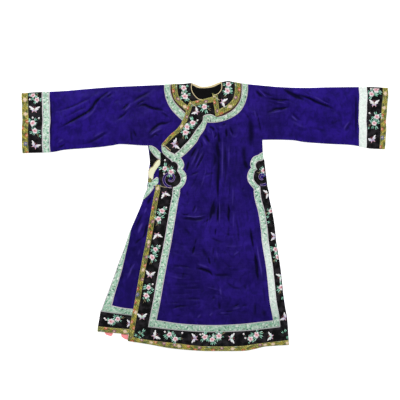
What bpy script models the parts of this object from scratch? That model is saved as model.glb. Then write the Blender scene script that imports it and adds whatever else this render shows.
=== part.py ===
"""A Chinese robe of violet-blue silk, lying flat on its back with the sleeves spread.

Lengths are in millimetres and become metres in the meshes. X runs from cuff to cuff, Y from the hem to the
neck and Z up from the surface that the robe lies on. Left is -X, where the lap closes.
"""
import bisect
import math

import bmesh
import bpy
from mathutils import Vector

MM = 0.001
CLOTH = 1.6  # wall of the lined silk
TRIM = 1.0  # wall of a band, ribbon or binding
PIPING = 1.6  # height of a cord piping
PIPING_WIDTH = 2.4
SEAM = 0.3  # space between two pieces that meet
RIM_PULL = 0.2  # the rim of a trim is drawn in by this much from the line that it meets
LIFT = 0.45  # space under a trim that follows a curved edge
SECOND = LIFT + TRIM + 0.35  # space under a trim that lies on another trim
CONTACT = 2 * CLOTH + SEAM  # top of the front where it lies on the back
LOFT = 3.5  # how much higher the front lies along the shoulders
LOFT_RUN = 130  # the length over which it rises
LAP_LIFT = 0.55  # space between the underlap and the lap
LAP_RUN = 120  # the right front comes down from the lap's height over this length
FADE = 30  # folds die out over this length before an edge
FOLD_TAPER = 40  # a fold rises and falls over this length at its ends
MOST_INSET = 0.2  # a strip is drawn in by no more than this share of its width

LAP_SEAM_X = 50  # centre front seam
BACK_SEAM_X = 10  # centre back seam
UNDERLAP_X = 38  # hidden inner edge of the underlap
NECK_X = {"left": -53, "right": 66}
SIDE_X = {"left": -217, "right": 218}  # side of the body above the underarm
SLEEVE_X = {"left": -410, "right": 407}  # seam between the body and the sleeve extension
RUYI_END_Y = 99  # the side borders start here, under the cloud heads

# Sleeve end: the lines across the sleeve at its top edge and at its bottom edge
CUFFS = {
    "left": {"ribbon": (-589, -589), "band": (-619, -619), "binding": (-672, -672), "end": (-696, -696)},
    "right": {"ribbon": (585, 585), "band": (616, 614), "binding": (676, 663), "end": (696, 684)},
}

# Outlines as rows (x, y)
SHOULDER = [
    (-696, 467), (-627, 471), (-536, 475), (-445, 483), (-353, 490), (-262, 494), (-171, 498), (-80, 502),
    (-53, 505), (66, 509), (87, 513), (125, 505), (194, 498), (285, 490), (376, 487), (467, 489), (559, 490),
    (627, 490), (696, 486),
]
UNDERARM = [
    (-696, 239), (-581, 243), (-536, 251), (-445, 258), (-399, 262), (-353, 268), (-323, 273), (-217, 268),
    (218, 289), (331, 288), (376, 281), (467, 274), (559, 269), (627, 257), (696, 254),
]
FRONT_HEM = [
    (-294, -475), (-209, -488), (-133, -502), (-19, -512), (60, -513), (152, -512), (190, -505), (228, -496),
    (319, -490),
]
BINDING_TOP = [(-290, -457), (-209, -472), (-95, -485), (-19, -494), (133, -494), (209, -484), (319, -471)]
BAND_TOP = [(-285, -413), (-213, -422), (-95, -435), (19, -441), (152, -437), (228, -429), (319, -418)]
RIBBON_TOP = [(-280, -386), (-184, -395), (-95, -408), (19, -414), (133, -410), (209, -402), (319, -389)]
BACK_HEM = [(-405, -435), (-353, -452), (-293, -467), (-171, -483), (-19, -498), (152, -498), (319, -479)]
UNDERLAP_HEM = [(-407, -439), (-293, -448), (-171, -471), (38, -488)]
LAP_TOP = [(-57, 437), (-19, 439), (10, 444), (22, 448), (30, 461), (50, 466)]
BACK_NECK = [(-53, 505), (-38, 501), (-19, 493), (11, 490), (34, 497), (57, 507), (66, 509)]
FRONT_NECK = {
    "left": [(-53, 500), (-49, 471), (-38, 452), (-19, 445), (5, 444), (38, 447)],
    "right": [(50, 466), (58, 473), (64, 482), (66, 505)],
}

# Outlines as rows (y, x)
SIDE_EDGE = {
    "left": [
        (-441, -407), (-365, -395), (-319, -380), (-274, -361), (-228, -346), (-182, -331), (-137, -312),
        (-91, -296), (-46, -281), (0, -262), (46, -243), (91, -226), (137, -218), (205, -214), (266, -217),
    ],
    "right": [
        (-490, 319), (-388, 312), (-319, 300), (-251, 293), (-182, 285), (-91, 270), (-46, 266), (23, 255),
        (68, 243), (114, 236), (160, 229), (205, 223), (251, 218), (289, 218),
    ],
}
LAP_EDGE = [
    (-475, -294), (-395, -281), (-319, -266), (-243, -253), (-167, -239), (-91, -224), (-15, -211),
    (61, -198), (99, -190), (114, -181), (144, -177), (182, -173), (232, -167), (270, -163),
    (300, -141), (334, -99), (365, -80), (395, -72), (437, -57),
]

LAP_BORDER = (0, 19, 68, 96)  # lines of binding, band and ribbon, in from the edge of the lap
RIGHT_BORDER = (57, 31)  # inner and outer line of the ribbon, in from the right side edge

# Folds: both ends of the ridge, its half width and its height
FOLD = ("x0", "y0", "x1", "y1", "width", "height")
SLEEVE_FOLDS = [
    (-560, 345, -440, 440, 22, 4.0),
    (-495, 330, -385, 455, 20, 3.0),
    (-345, 330, -190, 392, 24, 4.0),
    (-330, 400, -215, 445, 22, 3.0),
    (285, 440, 495, 362, 20, 4.5),
    (330, 470, 540, 425, 20, 3.5),
    (235, 360, 350, 400, 22, 3.0),
    (540, 380, 610, 330, 22, 2.5),
]
LAP_FOLDS = [
    (20, 340, 26, 205, 16, 3.0),
    (-36, 215, -20, 60, 16, 2.5),
    (-15, 0, 5, -160, 18, 3.5),
    (-110, -135, 45, -190, 20, 4.0),
    (-75, -222, 45, -265, 22, 4.0),
    (-120, -330, 40, -345, 22, 2.5),
    (-110, 20, -75, -75, 20, 2.5),
]
RIGHT_FOLDS = [
    (80, 330, 82, 190, 16, 3.0),
    (122, 330, 140, 175, 18, 3.5),
    (95, 120, 110, -40, 18, 3.0),
    (105, -95, 130, -230, 18, 3.5),
    (165, -50, 190, -240, 20, 4.0),
    (75, -275, 175, -300, 22, 3.5),
    (175, 400, 200, 285, 18, 3.0),
    (70, 150, 72, 20, 14, 2.5),
]

# Strips: a row for each section, (x, y) at one edge and (x, y) at the other
COLLAR_LEFT = {
    "ribbon": [
        (-156, 494, -133, 494), (-154, 471, -131, 468), (-148, 441, -124, 441), (-133, 410, -110, 420),
        (-114, 384, -94, 405), (-86, 362, -74, 395),
    ],
    "cord": [
        (-132, 494, -128, 494), (-130, 468, -126, 469), (-123, 441, -119, 443), (-109, 421, -105, 424),
        (-93, 406, -90, 409), (-73, 397, -72, 400),
    ],
    "binding": [
        (-127, 494, -107, 494), (-125, 469, -105, 471), (-118, 443, -97, 448), (-104, 425, -85, 433),
        (-89, 410, -75, 422), (-71, 402, -66, 415),
    ],
}
COLLAR_LEFT_BAND = [
    (-106, 494, -58, 494), (-104, 471, -57, 484), (-96, 449, -56, 475), (-84, 434, -54, 468),
    (-66, 418, -50, 461), (-60, 440, -43, 455), (-42, 441, -34, 451), (-24, 442, -22, 447),
]
COLLAR_RIGHT = {
    "ribbon": [
        (137, 494, 160, 494), (129, 450, 156, 452), (119, 428, 144, 422), (96, 407, 118, 388),
        (49, 381, 76, 365), (-3, 382, -6, 359),
    ],
    "cord": [
        (132, 494, 136, 494), (124, 451, 128, 450), (113, 431, 118, 428), (91, 412, 95, 408),
        (49, 386, 49, 382),
    ],
    "binding": [
        (110, 494, 131, 494), (106, 448, 123, 451), (92, 428, 112, 432), (77, 416, 90, 413),
        (59, 407, 47, 388),
    ],
    "front_binding": [(27, 459, 46, 463), (33, 425, 51, 432), (43, 387, 57, 408)],
    "band": [
        (69, 494, 109, 494), (68, 484, 105, 460), (62, 476, 97, 437), (52, 467, 84, 421),
        (56, 425, 72, 415), (59, 411, 61, 409),
    ],
}
LAP_BINDING = [
    (-55, 434, -50, 422), (-70, 396, -57, 395), (-78, 365, -67, 362), (-97, 335, -86, 328),
    (-139, 301, -126, 289), (-161, 272, -150, 262),
]
LAP_TOP_BINDING = [(-48, 435, -48, 422), (-19, 437, -19, 427), (22, 445, 24, 433)]
LAP_BAND = [
    (-48, 420, 25, 431), (-55, 395, 31, 412), (-59, 386, 37, 392), (-60, 383, -5, 384), (-67, 361, -9, 360),
    (-85, 327, -22, 336), (-106, 305, -44, 307), (-126, 288, -70, 273), (-149, 261, -118, 240),
]
LAP_RIBBON = [
    (-7, 357, 9, 351), (-20, 336, -3, 327), (-43, 306, -22, 300), (-69, 272, -46, 274), (-88, 254, -71, 250),
    (-116, 239, -91, 221),
]
RUYI_LEFT_RIBBON = [
    (-160, 262, -165, 243), (-140, 252, -151, 233), (-118, 237, -141, 224), (-92, 218, -129, 210),
    (-80, 201, -107, 203), (-81, 188, -104, 188), (-85, 180, -109, 178), (-72, 160, -97, 160),
    (-70, 141, -95, 141), (-80, 118, -103, 118), (-94, 91, -121, 93),
]
RUYI_LEFT = [
    (-167, 240, -163, 241), (-167, 229, -151, 231), (-168, 217, -142, 222), (-169, 204, -129, 208),
    (-171, 193, -107, 201), (-172, 180, -105, 188), (-174, 168, -110, 177), (-175, 155, -98, 160),
    (-177, 134, -96, 141), (-180, 116, -104, 118), (-189, 97, -122, 93),
]
RUYI_RIGHT_RIBBON = [
    (217, 241, 219, 219), (205, 237, 211, 215), (191, 231, 204, 210), (179, 221, 199, 203),
    (173, 209, 198, 195), (173, 192, 199, 185), (171, 184, 194, 176), (161, 165, 187, 160),
    (160, 140, 187, 141), (170, 116, 196, 119), (184, 87, 208, 88),
]
RUYI_RIGHT = [
    (219, 216, 221, 218), (212, 213, 221, 213), (205, 209, 221, 208), (200, 202, 222, 202),
    (199, 195, 222, 196), (200, 185, 223, 186), (195, 176, 225, 175), (188, 160, 226, 160),
    (188, 141, 229, 141), (197, 119, 232, 119), (209, 88.5, 237, 90),
]
UNDERLAP = {
    "ruyi_ribbon": [(-208, 262, -206, 247), (-190, 248, -191, 236), (-173, 230, -180, 222)],
    "ruyi_band": [(-206, 244, -209, 181), (-194, 234, -203, 188), (-183, 221, -192, 206)],
    "ruyi_binding": [
        (-178, 215, -181, 209), (-191, 203, -187, 197), (-206, 176, -200, 173), (-210, 152, -204, 153),
        (-204, 139, -199, 143),
    ],
    "side_ribbon": [
        (-390, -363, -353, -341), (-376, -319, -346, -319), (-359, -281, -334, -281),
        (-346, -243, -325, -243), (-333, -205, -315, -205), (-319, -167, -304, -167),
        (-305, -129, -296, -129), (-293, -91, -288, -91),
    ],
    "hem_ribbon": [(-353, -343, -389, -365), (-312, -349, -336, -372), (-275, -353, -281, -378)],
    "band": [(-390, -367, -402, -421), (-336, -374, -345, -427), (-283, -380, -290, -432)],
    "binding": [(-402, -424, -404, -437), (-345, -430, -346, -442), (-291, -435, -296, -446)],
}
HEM_LINING = [(-375, -443, -372, -446), (-340, -446, -338, -455), (-303, -449, -300, -464)]
NECK_PIPING = [
    ("neck_piping_left", "left", [(-55, 492), (-51, 472), (-40, 453), (-20, 446.5), (-8, 445.5)]),
    ("neck_piping_right", "right", [(54, 471), (61, 478), (66, 487), (67, 493)]),
]
BACK_NECK_BINDING = [
    (-36, 497, -38, 492), (-19, 491, -20, 485), (11, 488, 11, 482), (33, 494, 35, 488), (50, 500, 53, 495),
]
BACK_FACING = [
    (-62, 440, -62, 480), (-38, 440, -38, 490), (-20, 440, -20, 484), (11, 440, 11, 481), (35, 440, 35, 487),
    (72, 440, 72, 490),
]

# Cord spirals on the cloud heads: centre, start angle, turns (signed), inner and outer radius
SPIRALS = {
    "ruyi_left": (-129, 144, 20, 1.35, 6, 27),
    "ruyi_right": (213, 144, 160, -0.62, 8, 20),
}
SPIRAL_STEPS = 18

BUTTONS = [("button_neck", 34, 452), ("button_collar", -55, 427), ("button_underarm", -158, 268)]
BUTTON_R = 4.0
BUTTON_FLATNESS = 0.7
LOOP_LENGTH = 17
LOOP_SLOPE = -0.75

COLOURS = {
    "silk": (0.022, 0.008, 0.17), "black": (0.006, 0.006, 0.008), "mint": (0.50, 0.66, 0.52),
    "gold": (0.34, 0.30, 0.10), "cream": (0.75, 0.68, 0.52), "maroon": (0.10, 0.02, 0.03),
    "lilac": (0.50, 0.38, 0.66), "coral": (0.75, 0.25, 0.22),
}
ROUGHNESS = {
    "silk": 0.5, "black": 0.35, "mint": 0.6, "gold": 0.6, "cream": 0.5, "maroon": 0.5, "lilac": 0.5,
    "coral": 0.6,
}


def eased(t):
    t = min(max(t, 0.0), 1.0)
    return t * t * (3 - 2 * t)


def mixed(a, b, t):
    return a + (b - a) * t


def through(rows, at):
    """The smooth curve through rows of (along, value), level beyond both ends."""
    along = [row[0] for row in rows]
    value = [row[1] for row in rows]
    if at <= along[0]:
        return value[0]
    if at >= along[-1]:
        return value[-1]
    k = bisect.bisect_right(along, at) - 1
    step = along[k + 1] - along[k]
    t = (at - along[k]) / step

    def slope(m):
        a, b = max(m - 1, 0), min(m + 1, len(along) - 1)
        return (value[b] - value[a]) / (along[b] - along[a])

    return (
        (1 + 2 * t) * (1 - t) ** 2 * value[k]
        + t * (1 - t) ** 2 * step * slope(k)
        + t * t * (3 - 2 * t) * value[k + 1]
        + t * t * (t - 1) * step * slope(k + 1)
    )


# Heights

def base(x, y):
    """Top of a front that lies on the back, higher towards the shoulders."""
    return CONTACT + LOFT * eased((y - through(UNDERARM, x)) / LOFT_RUN)


def ridges(x, y, folds):
    total = 0.0
    for row in folds:
        fold = dict(zip(FOLD, row))
        dx, dy = fold["x1"] - fold["x0"], fold["y1"] - fold["y0"]
        length = math.hypot(dx, dy)
        along = ((x - fold["x0"]) * dx + (y - fold["y0"]) * dy) / length
        across = ((x - fold["x0"]) * dy - (y - fold["y0"]) * dx) / length
        ends = eased(along / FOLD_TAPER + 0.5) * eased((length - along) / FOLD_TAPER + 0.5)
        total += fold["height"] * ends * math.exp(-((across / fold["width"]) ** 2))
    return total


def left_front(x, y):
    near = min(through(SHOULDER, x) - y, y - through(UNDERARM, x))
    return base(x, y) + ridges(x, y, SLEEVE_FOLDS) * eased(near / FADE)


def right_front(x, y):
    """The right front, level with the lap at the centre seam."""
    near = through(SHOULDER, x) - y
    if x > SIDE_X["right"]:
        near = min(near, y - through(UNDERARM, x))
    if y < through(UNDERARM, x):
        near = min(near, through(SIDE_EDGE["right"], y) - x, y - through(FRONT_HEM, x))
    beside = (LAP_LIFT + CLOTH) * (1 - eased((x - LAP_SEAM_X) / LAP_RUN))
    folds = SLEEVE_FOLDS + RIGHT_FOLDS
    return base(x, y) + beside + ridges(x, y, folds) * eased(near / FADE)


def lap_front(x, y):
    near = min(x - through(LAP_EDGE, y), y - through(FRONT_HEM, x))
    return base(x, y) + LAP_LIFT + CLOTH + ridges(x, y, LAP_FOLDS) * eased(near / FADE)


def any_front(x, y):
    return lap_front(x, y) if x < LAP_SEAM_X else right_front(x, y)


def on_back(x, y):
    return CLOTH


# Making solids

def material(colour):
    found = bpy.data.materials.get(colour)
    if found:
        return found
    made = bpy.data.materials.new(colour)
    made.use_nodes = True
    shader = made.node_tree.nodes["Principled BSDF"]
    shader.inputs["Base Color"].default_value = (*COLOURS[colour], 1)
    shader.inputs["Roughness"].default_value = ROUGHNESS[colour]
    shader.inputs["Metallic"].default_value = 0
    made.diffuse_color = (*COLOURS[colour], 1)
    return made


def add_object(name, mesh_edit, colour):
    bmesh.ops.recalc_face_normals(mesh_edit, faces=mesh_edit.faces)
    mesh = bpy.data.meshes.new(name)
    mesh_edit.to_mesh(mesh)
    mesh_edit.free()
    mesh.materials.append(material(colour))
    mesh.shade_smooth()
    mesh.set_sharp_from_angle(angle=math.radians(40))
    made = bpy.data.objects.new(name, mesh)
    robe.objects.link(made)
    return made


def corners(cell):
    i, j = cell
    return (i, j), (i + 1, j), (i + 1, j + 1), (i, j + 1)


def wall(name, cells, outer, inner, colour, around=None):
    """The cells of a grid as a closed wall between the points outer(i, j) and inner(i, j).

    A grid that closes on itself has around columns of nodes in j.
    """
    def key(node):
        return (node[0], node[1] % around) if around else node

    edit = bmesh.new()
    nodes = sorted({key(node) for cell in cells for node in corners(cell)})
    faces = {}
    for side, place in (("outer", outer), ("inner", inner)):
        for node in nodes:
            faces[side, node] = edit.verts.new([MM * c for c in place(*node)])
    uses = {}
    for cell in sorted(cells):
        a, b, c, d = [key(node) for node in corners(cell)]
        for side in ("outer", "inner"):
            edit.faces.new([faces[side, n] for n in (a, b, c)])
            edit.faces.new([faces[side, n] for n in (a, c, d)])
        for edge in ((a, b), (b, c), (c, d), (d, a)):
            uses.setdefault(frozenset(edge), []).append(edge)
    for edges in uses.values():
        if len(edges) == 1:
            a, b = edges[0]
            edit.faces.new([faces["outer", a], faces["outer", b], faces["inner", b]])
            edit.faces.new([faces["outer", a], faces["inner", b], faces["inner", a]])
    return add_object(name, edit, colour)


def block(columns, rows):
    return {(i, j) for i in range(*columns) for j in range(*rows)}


def laid_cells(name, cells, place, top, colour):
    """A trim over some cells of a panel, from the panel's own points, drawn in at its rim and moved out."""
    def pulled(i, j):
        x, y = place(i, j)
        beside = [cell for cell in ((i - 1, j - 1), (i, j - 1), (i - 1, j), (i, j)) if cell in cells]
        if len(beside) == 4:
            return x, y, top(x, y)
        pull_x = pull_y = 0.0
        for cell in beside:
            near = [place(*node) for node in corners(cell)]
            dx, dy = sum(p[0] for p in near) / 4 - x, sum(p[1] for p in near) / 4 - y
            pull_x += dx / math.hypot(dx, dy)
            pull_y += dy / math.hypot(dx, dy)
        scale = RIM_PULL / math.hypot(pull_x, pull_y)
        return x + pull_x * scale, y + pull_y * scale, top(x, y)

    def outer(i, j):
        x, y, z = pulled(i, j)
        return x, y, z + SEAM + TRIM

    def inner(i, j):
        x, y, z = pulled(i, j)
        return x, y, z + SEAM

    return wall(name, cells, outer, inner, colour)


def strip(name, rows, top, colour, steps=3, across=1, lift=LIFT, thick=TRIM, curved=True):
    """A trim between two edges, a row for each section, lying over the surface top."""
    count = steps * (len(rows) - 1)
    numbers = range(len(rows))

    def read(column, t):
        if curved:
            return through([(k, rows[k][column]) for k in numbers], t)
        k = min(int(t), len(rows) - 2)
        return mixed(rows[k][column], rows[k + 1][column], t - k)

    def place(i, j):
        t = j / steps
        first, last = rows[0], rows[-1]
        if j == 0:
            t = SEAM / 2 / max(math.dist(first[:2], rows[1][:2]), math.dist(first[2:], rows[1][2:]))
        if j == count:
            t -= SEAM / 2 / max(math.dist(last[:2], rows[-2][:2]), math.dist(last[2:], rows[-2][2:]))
        one = read(0, t), read(1, t)
        other = read(2, t), read(3, t)
        inset = min(SEAM / 2 / math.dist(one, other), MOST_INSET)
        u = mixed(inset, 1 - inset, i / across)
        x, y = mixed(one[0], other[0], u), mixed(one[1], other[1], u)
        return x, y, top(x, y) + lift

    def outer(i, j):
        x, y, z = place(i, j)
        return x, y, z + thick

    return wall(name, block((0, across), (0, count)), outer, place, colour)


def piping(name, path, top, colour, steps=3):
    """A cord along a path of (x, y), lying over another trim."""
    rows = []
    for k, (x, y) in enumerate(path):
        before, after = path[max(k - 1, 0)], path[min(k + 1, len(path) - 1)]
        dx, dy = after[0] - before[0], after[1] - before[1]
        length = math.hypot(dx, dy)
        ox, oy = -dy / length * PIPING_WIDTH / 2, dx / length * PIPING_WIDTH / 2
        rows.append((x - ox, y - oy, x + ox, y + oy))
    strip(name, rows, top, colour, steps=steps, lift=SECOND, thick=PIPING)


# Body halves, each in one length over the shoulder

FOLD_STEPS = 3
INNER_SHARES = (0, 0.4, 0.72, 0.93, 1)  # columns from the inner edge to the neck's side, closer at the side
INNER_COLUMNS = len(INNER_SHARES) - 1
SLEEVE_COLUMNS = 9
BACK_SKIRT_ROWS = 5
BACK_UPPER_ROWS = 3
FRONT_UPPER_ROWS = 10
ABOVE = 1000  # a height above the whole robe, where its columns stand upright


def body_half(name, side, body_columns, border, skirt_rows, front, hem_lines, inner_x):
    """Columns run from the inner edge past the neck and the side to the sleeve seam, and rows from the
    back hem over the shoulder to the front hem. Border columns keep their distance from the side edge, and
    the last rows follow the hem lines. It returns the front's points, two row numbers and a column number.
    """
    sign = -1 if side == "left" else 1
    side_column = INNER_COLUMNS + body_columns
    seam_column = side_column + SLEEVE_COLUMNS
    fold_start = BACK_SKIRT_ROWS + BACK_UPPER_ROWS
    fold_end = fold_start + FOLD_STEPS + 1
    skirt_start = fold_end + FRONT_UPPER_ROWS
    hem_row = skirt_start + skirt_rows + len(hem_lines) - 1
    underarm_y = through(UNDERARM, SIDE_X[side])
    hem_corner_x = sign * ABOVE

    def column_x(i, y, layer):
        if i <= INNER_COLUMNS:
            return mixed(inner_x[layer], NECK_X[side], INNER_SHARES[i])
        if i > side_column:
            seam = SLEEVE_X[side] - sign * SEAM / 2
            return mixed(SIDE_X[side], seam, (i - side_column) / SLEEVE_COLUMNS)
        edge = through(SIDE_EDGE[side], y) if y < underarm_y else SIDE_X[side]
        insets = (*border, 0)
        plain = body_columns - len(border)
        k = i - INNER_COLUMNS
        if k >= plain:
            return edge - insets[k - plain]
        return mixed(NECK_X[side], edge - insets[0], k / plain)

    def half_height(x):
        return front(x, through(SHOULDER, x)) / 2

    def upper_place(i, share, layer, neckline):
        """A point of the front or back above the underarm, by its share of the way up."""
        x = column_x(i, ABOVE, layer)
        top = through(neckline, x) if i < INNER_COLUMNS else through(SHOULDER, x) - half_height(x)
        return x, mixed(through(UNDERARM, x), top, share)

    def skirt_place(i, share, layer, hem):
        """A point of the front or back below the underarm, by its share of the way down."""
        x = column_x(i, mixed(underarm_y, through(hem, hem_corner_x), share), layer)
        return x, mixed(through(UNDERARM, x), through(hem, x), share)

    def front_place(i, j):
        if j <= skirt_start:
            return upper_place(i, (skirt_start - j) / FRONT_UPPER_ROWS, "front", FRONT_NECK[side])
        down = j - skirt_start
        if down <= skirt_rows:
            return skirt_place(i, down / skirt_rows, "front", hem_lines[0])
        return skirt_place(i, 1, "front", hem_lines[down - skirt_rows])

    def point(i, j, depth):
        if j <= BACK_SKIRT_ROWS:
            return *skirt_place(i, 1 - j / BACK_SKIRT_ROWS, "back", BACK_HEM), depth
        if j <= fold_start:
            return *upper_place(i, (j - BACK_SKIRT_ROWS) / BACK_UPPER_ROWS, "back", BACK_NECK), depth
        if j < fold_end:
            angle = math.pi * ((j - fold_start) / (FOLD_STEPS + 1) - 0.5)
            x = column_x(i, ABOVE, "front")
            half = half_height(x)
            radius = half - depth
            centre = through(SHOULDER, x) - half
            return x, centre + radius * math.cos(angle), half + radius * math.sin(angle)
        x, y = front_place(i, j)
        return x, y, front(x, y) - depth

    cells = block((0, side_column), (0, fold_start)) | block((0, side_column), (fold_end, hem_row))
    cells |= block((INNER_COLUMNS, side_column), (fold_start, fold_end))
    cells |= block((side_column, seam_column), (BACK_SKIRT_ROWS, skirt_start))
    wall(name, cells, lambda i, j: point(i, j, 0), lambda i, j: point(i, j, CLOTH), "silk")
    return front_place, skirt_start, hem_row, side_column


def body_left():
    inner_x = {"front": UNDERLAP_X, "back": BACK_SEAM_X - SEAM / 2}
    body_half("body_left", "left", 7, (), 12, left_front, [UNDERLAP_HEM], inner_x)


def body_right():
    skirt_rows = 24
    inner_x = {"front": LAP_SEAM_X + SEAM / 2, "back": BACK_SEAM_X + SEAM / 2}
    place, skirt_start, hem_row, side = body_half(
        "body_right", "right", 11, RIGHT_BORDER, skirt_rows, right_front,
        [RIBBON_TOP, BAND_TOP, BINDING_TOP, FRONT_HEM], inner_x,
    )
    ribbon_row, band_row, binding_row = hem_row - 3, hem_row - 2, hem_row - 1
    underarm_y = through(UNDERARM, SIDE_X["right"])
    share = (underarm_y - RUYI_END_Y) / (underarm_y - through(RIBBON_TOP, ABOVE))
    top_row = skirt_start + math.ceil(share * skirt_rows)
    band = block((0, side), (band_row, binding_row)) | block((side - 1, side), (top_row, binding_row))
    ribbon = block((0, side - 1), (ribbon_row, band_row)) | block((side - 2, side - 1), (top_row, band_row))
    binding = block((0, side), (binding_row, hem_row))
    laid_cells("right_border_band", band, place, right_front, "black")
    laid_cells("right_border_ribbon", ribbon, place, right_front, "mint")
    laid_cells("right_hem_binding", binding, place, right_front, "gold")


# Lap

LAP_LOWER_ROWS = 22
LAP_UPPER_ROWS = 14
LAP_COLUMNS = 6
BORDER_SHARE = 0.45  # the border lines take at most this share of the lap's width


def lap_place(i, j):
    """(x, y) of a node of the lap, i from its edge to the centre seam and j from the hem up."""
    lines = [FRONT_HEM, BINDING_TOP, BAND_TOP, RIBBON_TOP]
    low, high = through(RIBBON_TOP, -ABOVE), through(LAP_TOP, -ABOVE)
    ruyi_share = (RUYI_END_Y - low) / (high - low)
    if j < 3:
        share = 0
        edge_y = through(lines[j], -ABOVE)
    elif j <= 3 + LAP_LOWER_ROWS:
        share = ruyi_share * (j - 3) / LAP_LOWER_ROWS
        edge_y = mixed(low, high, share)
    else:
        share = mixed(ruyi_share, 1, (j - 3 - LAP_LOWER_ROWS) / LAP_UPPER_ROWS)
        edge_y = mixed(low, high, share)
    edge = through(LAP_EDGE, edge_y)
    seam = LAP_SEAM_X - SEAM / 2
    squeeze = min(1, BORDER_SHARE * (seam - edge) / LAP_BORDER[-1])
    border = [edge + line * squeeze for line in LAP_BORDER]
    if i < len(border):
        x = border[i]
    else:
        x = mixed(border[-1], seam, (i - len(border) + 1) / LAP_COLUMNS)
    if j < 3:
        return x, through(lines[j], x)
    return x, mixed(through(RIBBON_TOP, x), through(LAP_TOP, x), share)


def front_lap():
    columns = len(LAP_BORDER) - 1 + LAP_COLUMNS
    rows = 3 + LAP_LOWER_ROWS + LAP_UPPER_ROWS

    def point(i, j, depth):
        x, y = lap_place(i, j)
        return x, y, lap_front(x, y) - depth

    wall("front_lap", block((0, columns), (0, rows)), lambda i, j: point(i, j, 0),
         lambda i, j: point(i, j, CLOTH), "silk")
    top_row = 3 + LAP_LOWER_ROWS
    for number, (name, colour) in enumerate(
        (("lap_border_binding", "gold"), ("lap_border_band", "black"), ("lap_border_ribbon", "mint"))
    ):
        hem = block((number, columns), (number, number + 1))
        side = block((number, number + 1), (number, top_row))
        laid_cells(name, hem | side, lap_place, lap_front, colour)


# Sleeve ends, as flattened tubes

def tube(name, side, start, stop, columns, colour, extra=0.0):
    """A flattened tube round the sleeve between two lines across it, given at its top and bottom edges."""
    front = left_front if side == "left" else right_front
    back_rows, front_rows = 3, 10
    turn = CONTACT / 2  # half height of the fold under the arm
    around = back_rows + FOLD_STEPS + 1 + front_rows + 2
    fold_start, fold_end = back_rows, back_rows + FOLD_STEPS + 1
    sign = -1 if side == "left" else 1

    def column(i):
        top, bottom = (mixed(start[k], stop[k], i / columns) for k in (0, 1))
        shift = SEAM / 2 * sign * (1 if i == 0 else -1 if i == columns else 0)
        return top + shift, bottom + shift

    def section(i, j, depth):
        x_top, x_bottom = column(i)
        x_mean = (x_top + x_bottom) / 2
        low, high = through(UNDERARM, x_mean), through(SHOULDER, x_mean)
        half = front(x_mean, high) / 2
        out = extra if depth == 0 else 0.0

        def at(y, z):
            return mixed(x_bottom, x_top, (y - low) / (high - low)), y, z

        if j <= fold_start:
            return at(mixed(low + turn, high - half, j / back_rows), depth)
        if j < fold_end:
            angle = math.pi * ((j - fold_start) / (FOLD_STEPS + 1) - 0.5)
            radius = half - depth + out * math.cos(angle)
            rise = half + (half - depth) * math.sin(angle) + out * max(math.sin(angle), 0)
            return at(high - half + radius * math.cos(angle), rise)
        if j < around - 1:
            y = mixed(high - half, low + turn, (j - fold_end) / front_rows)
            return at(y, front(x_mean, y) - depth + out)
        return at(low + depth - out, turn + out / 2)

    wall(name, block((0, columns), (0, around)), lambda i, j: section(i, j, 0),
         lambda i, j: section(i, j, CLOTH), colour, around=around)


def sleeve_end(side):
    lines = CUFFS[side]
    seam = (SLEEVE_X[side], SLEEVE_X[side])
    tube(f"sleeve_{side}", side, seam, lines["ribbon"], 8, "silk")
    tube(f"cuff_ribbon_{side}", side, lines["ribbon"], lines["band"], 1, "mint", extra=0.6)
    tube(f"cuff_band_{side}", side, lines["band"], lines["binding"], 2, "black", extra=0.3)
    tube(f"cuff_binding_{side}", side, lines["binding"], lines["end"], 1, "gold", extra=0.6)


# Trims of the neck, the closing edge and the cloud heads

def collar():
    for part, colour in (("ribbon", "mint"), ("cord", "maroon"), ("binding", "gold")):
        strip(f"collar_left_{part}", COLLAR_LEFT[part], left_front, colour)
    strip("collar_left_band", COLLAR_LEFT_BAND, left_front, "black", steps=2, across=2, curved=False)
    for part, colour in (
        ("ribbon", "mint"), ("cord", "maroon"), ("binding", "gold"), ("front_binding", "gold"),
        ("band", "black"),
    ):
        strip(f"collar_right_{part}", COLLAR_RIGHT[part], any_front, colour)
    for name, side, path in NECK_PIPING:
        top = left_front if side == "left" else any_front
        piping(name, path, top, "cream")
    strip("back_neck_binding", BACK_NECK_BINDING, on_back, "cream", steps=2, lift=SEAM)
    strip("back_neck_facing", BACK_FACING, on_back, "black", steps=1, across=2, lift=SEAM)


def lap_trims():
    strip("lap_binding", LAP_BINDING, lap_front, "gold", curved=False)
    strip("lap_top_binding", LAP_TOP_BINDING, lap_front, "gold", steps=2)
    strip("lap_band", LAP_BAND, lap_front, "black", steps=2, across=2, curved=False)
    strip("lap_ribbon", LAP_RIBBON, lap_front, "mint", steps=2, curved=False)


def ruyi(name, band_rows, ribbon_rows, top):
    strip(name, band_rows, top, "black", steps=2, across=3)
    strip(f"{name}_ribbon", ribbon_rows, top, "mint", steps=2)
    x, y, angle, turns, inner, outer = SPIRALS[name]
    path = []
    for k in range(SPIRAL_STEPS + 1):
        share = k / SPIRAL_STEPS
        turn = math.radians(angle) + share * turns * math.tau
        radius = mixed(inner, outer, share)
        path.append((x + radius * math.cos(turn), y + radius * math.sin(turn)))
    piping(f"{name}_piping", path, top, "lilac", steps=1)


def underlap_trims():
    colours = {
        "ruyi_ribbon": "mint", "ruyi_band": "black", "ruyi_binding": "cream", "side_ribbon": "mint",
        "hem_ribbon": "mint", "band": "black", "binding": "gold",
    }
    for part, colour in colours.items():
        strip(f"underlap_{part}", UNDERLAP[part], left_front, colour, steps=2)
    strip("back_hem_lining", HEM_LINING, on_back, "coral", steps=2, lift=SEAM)


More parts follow.
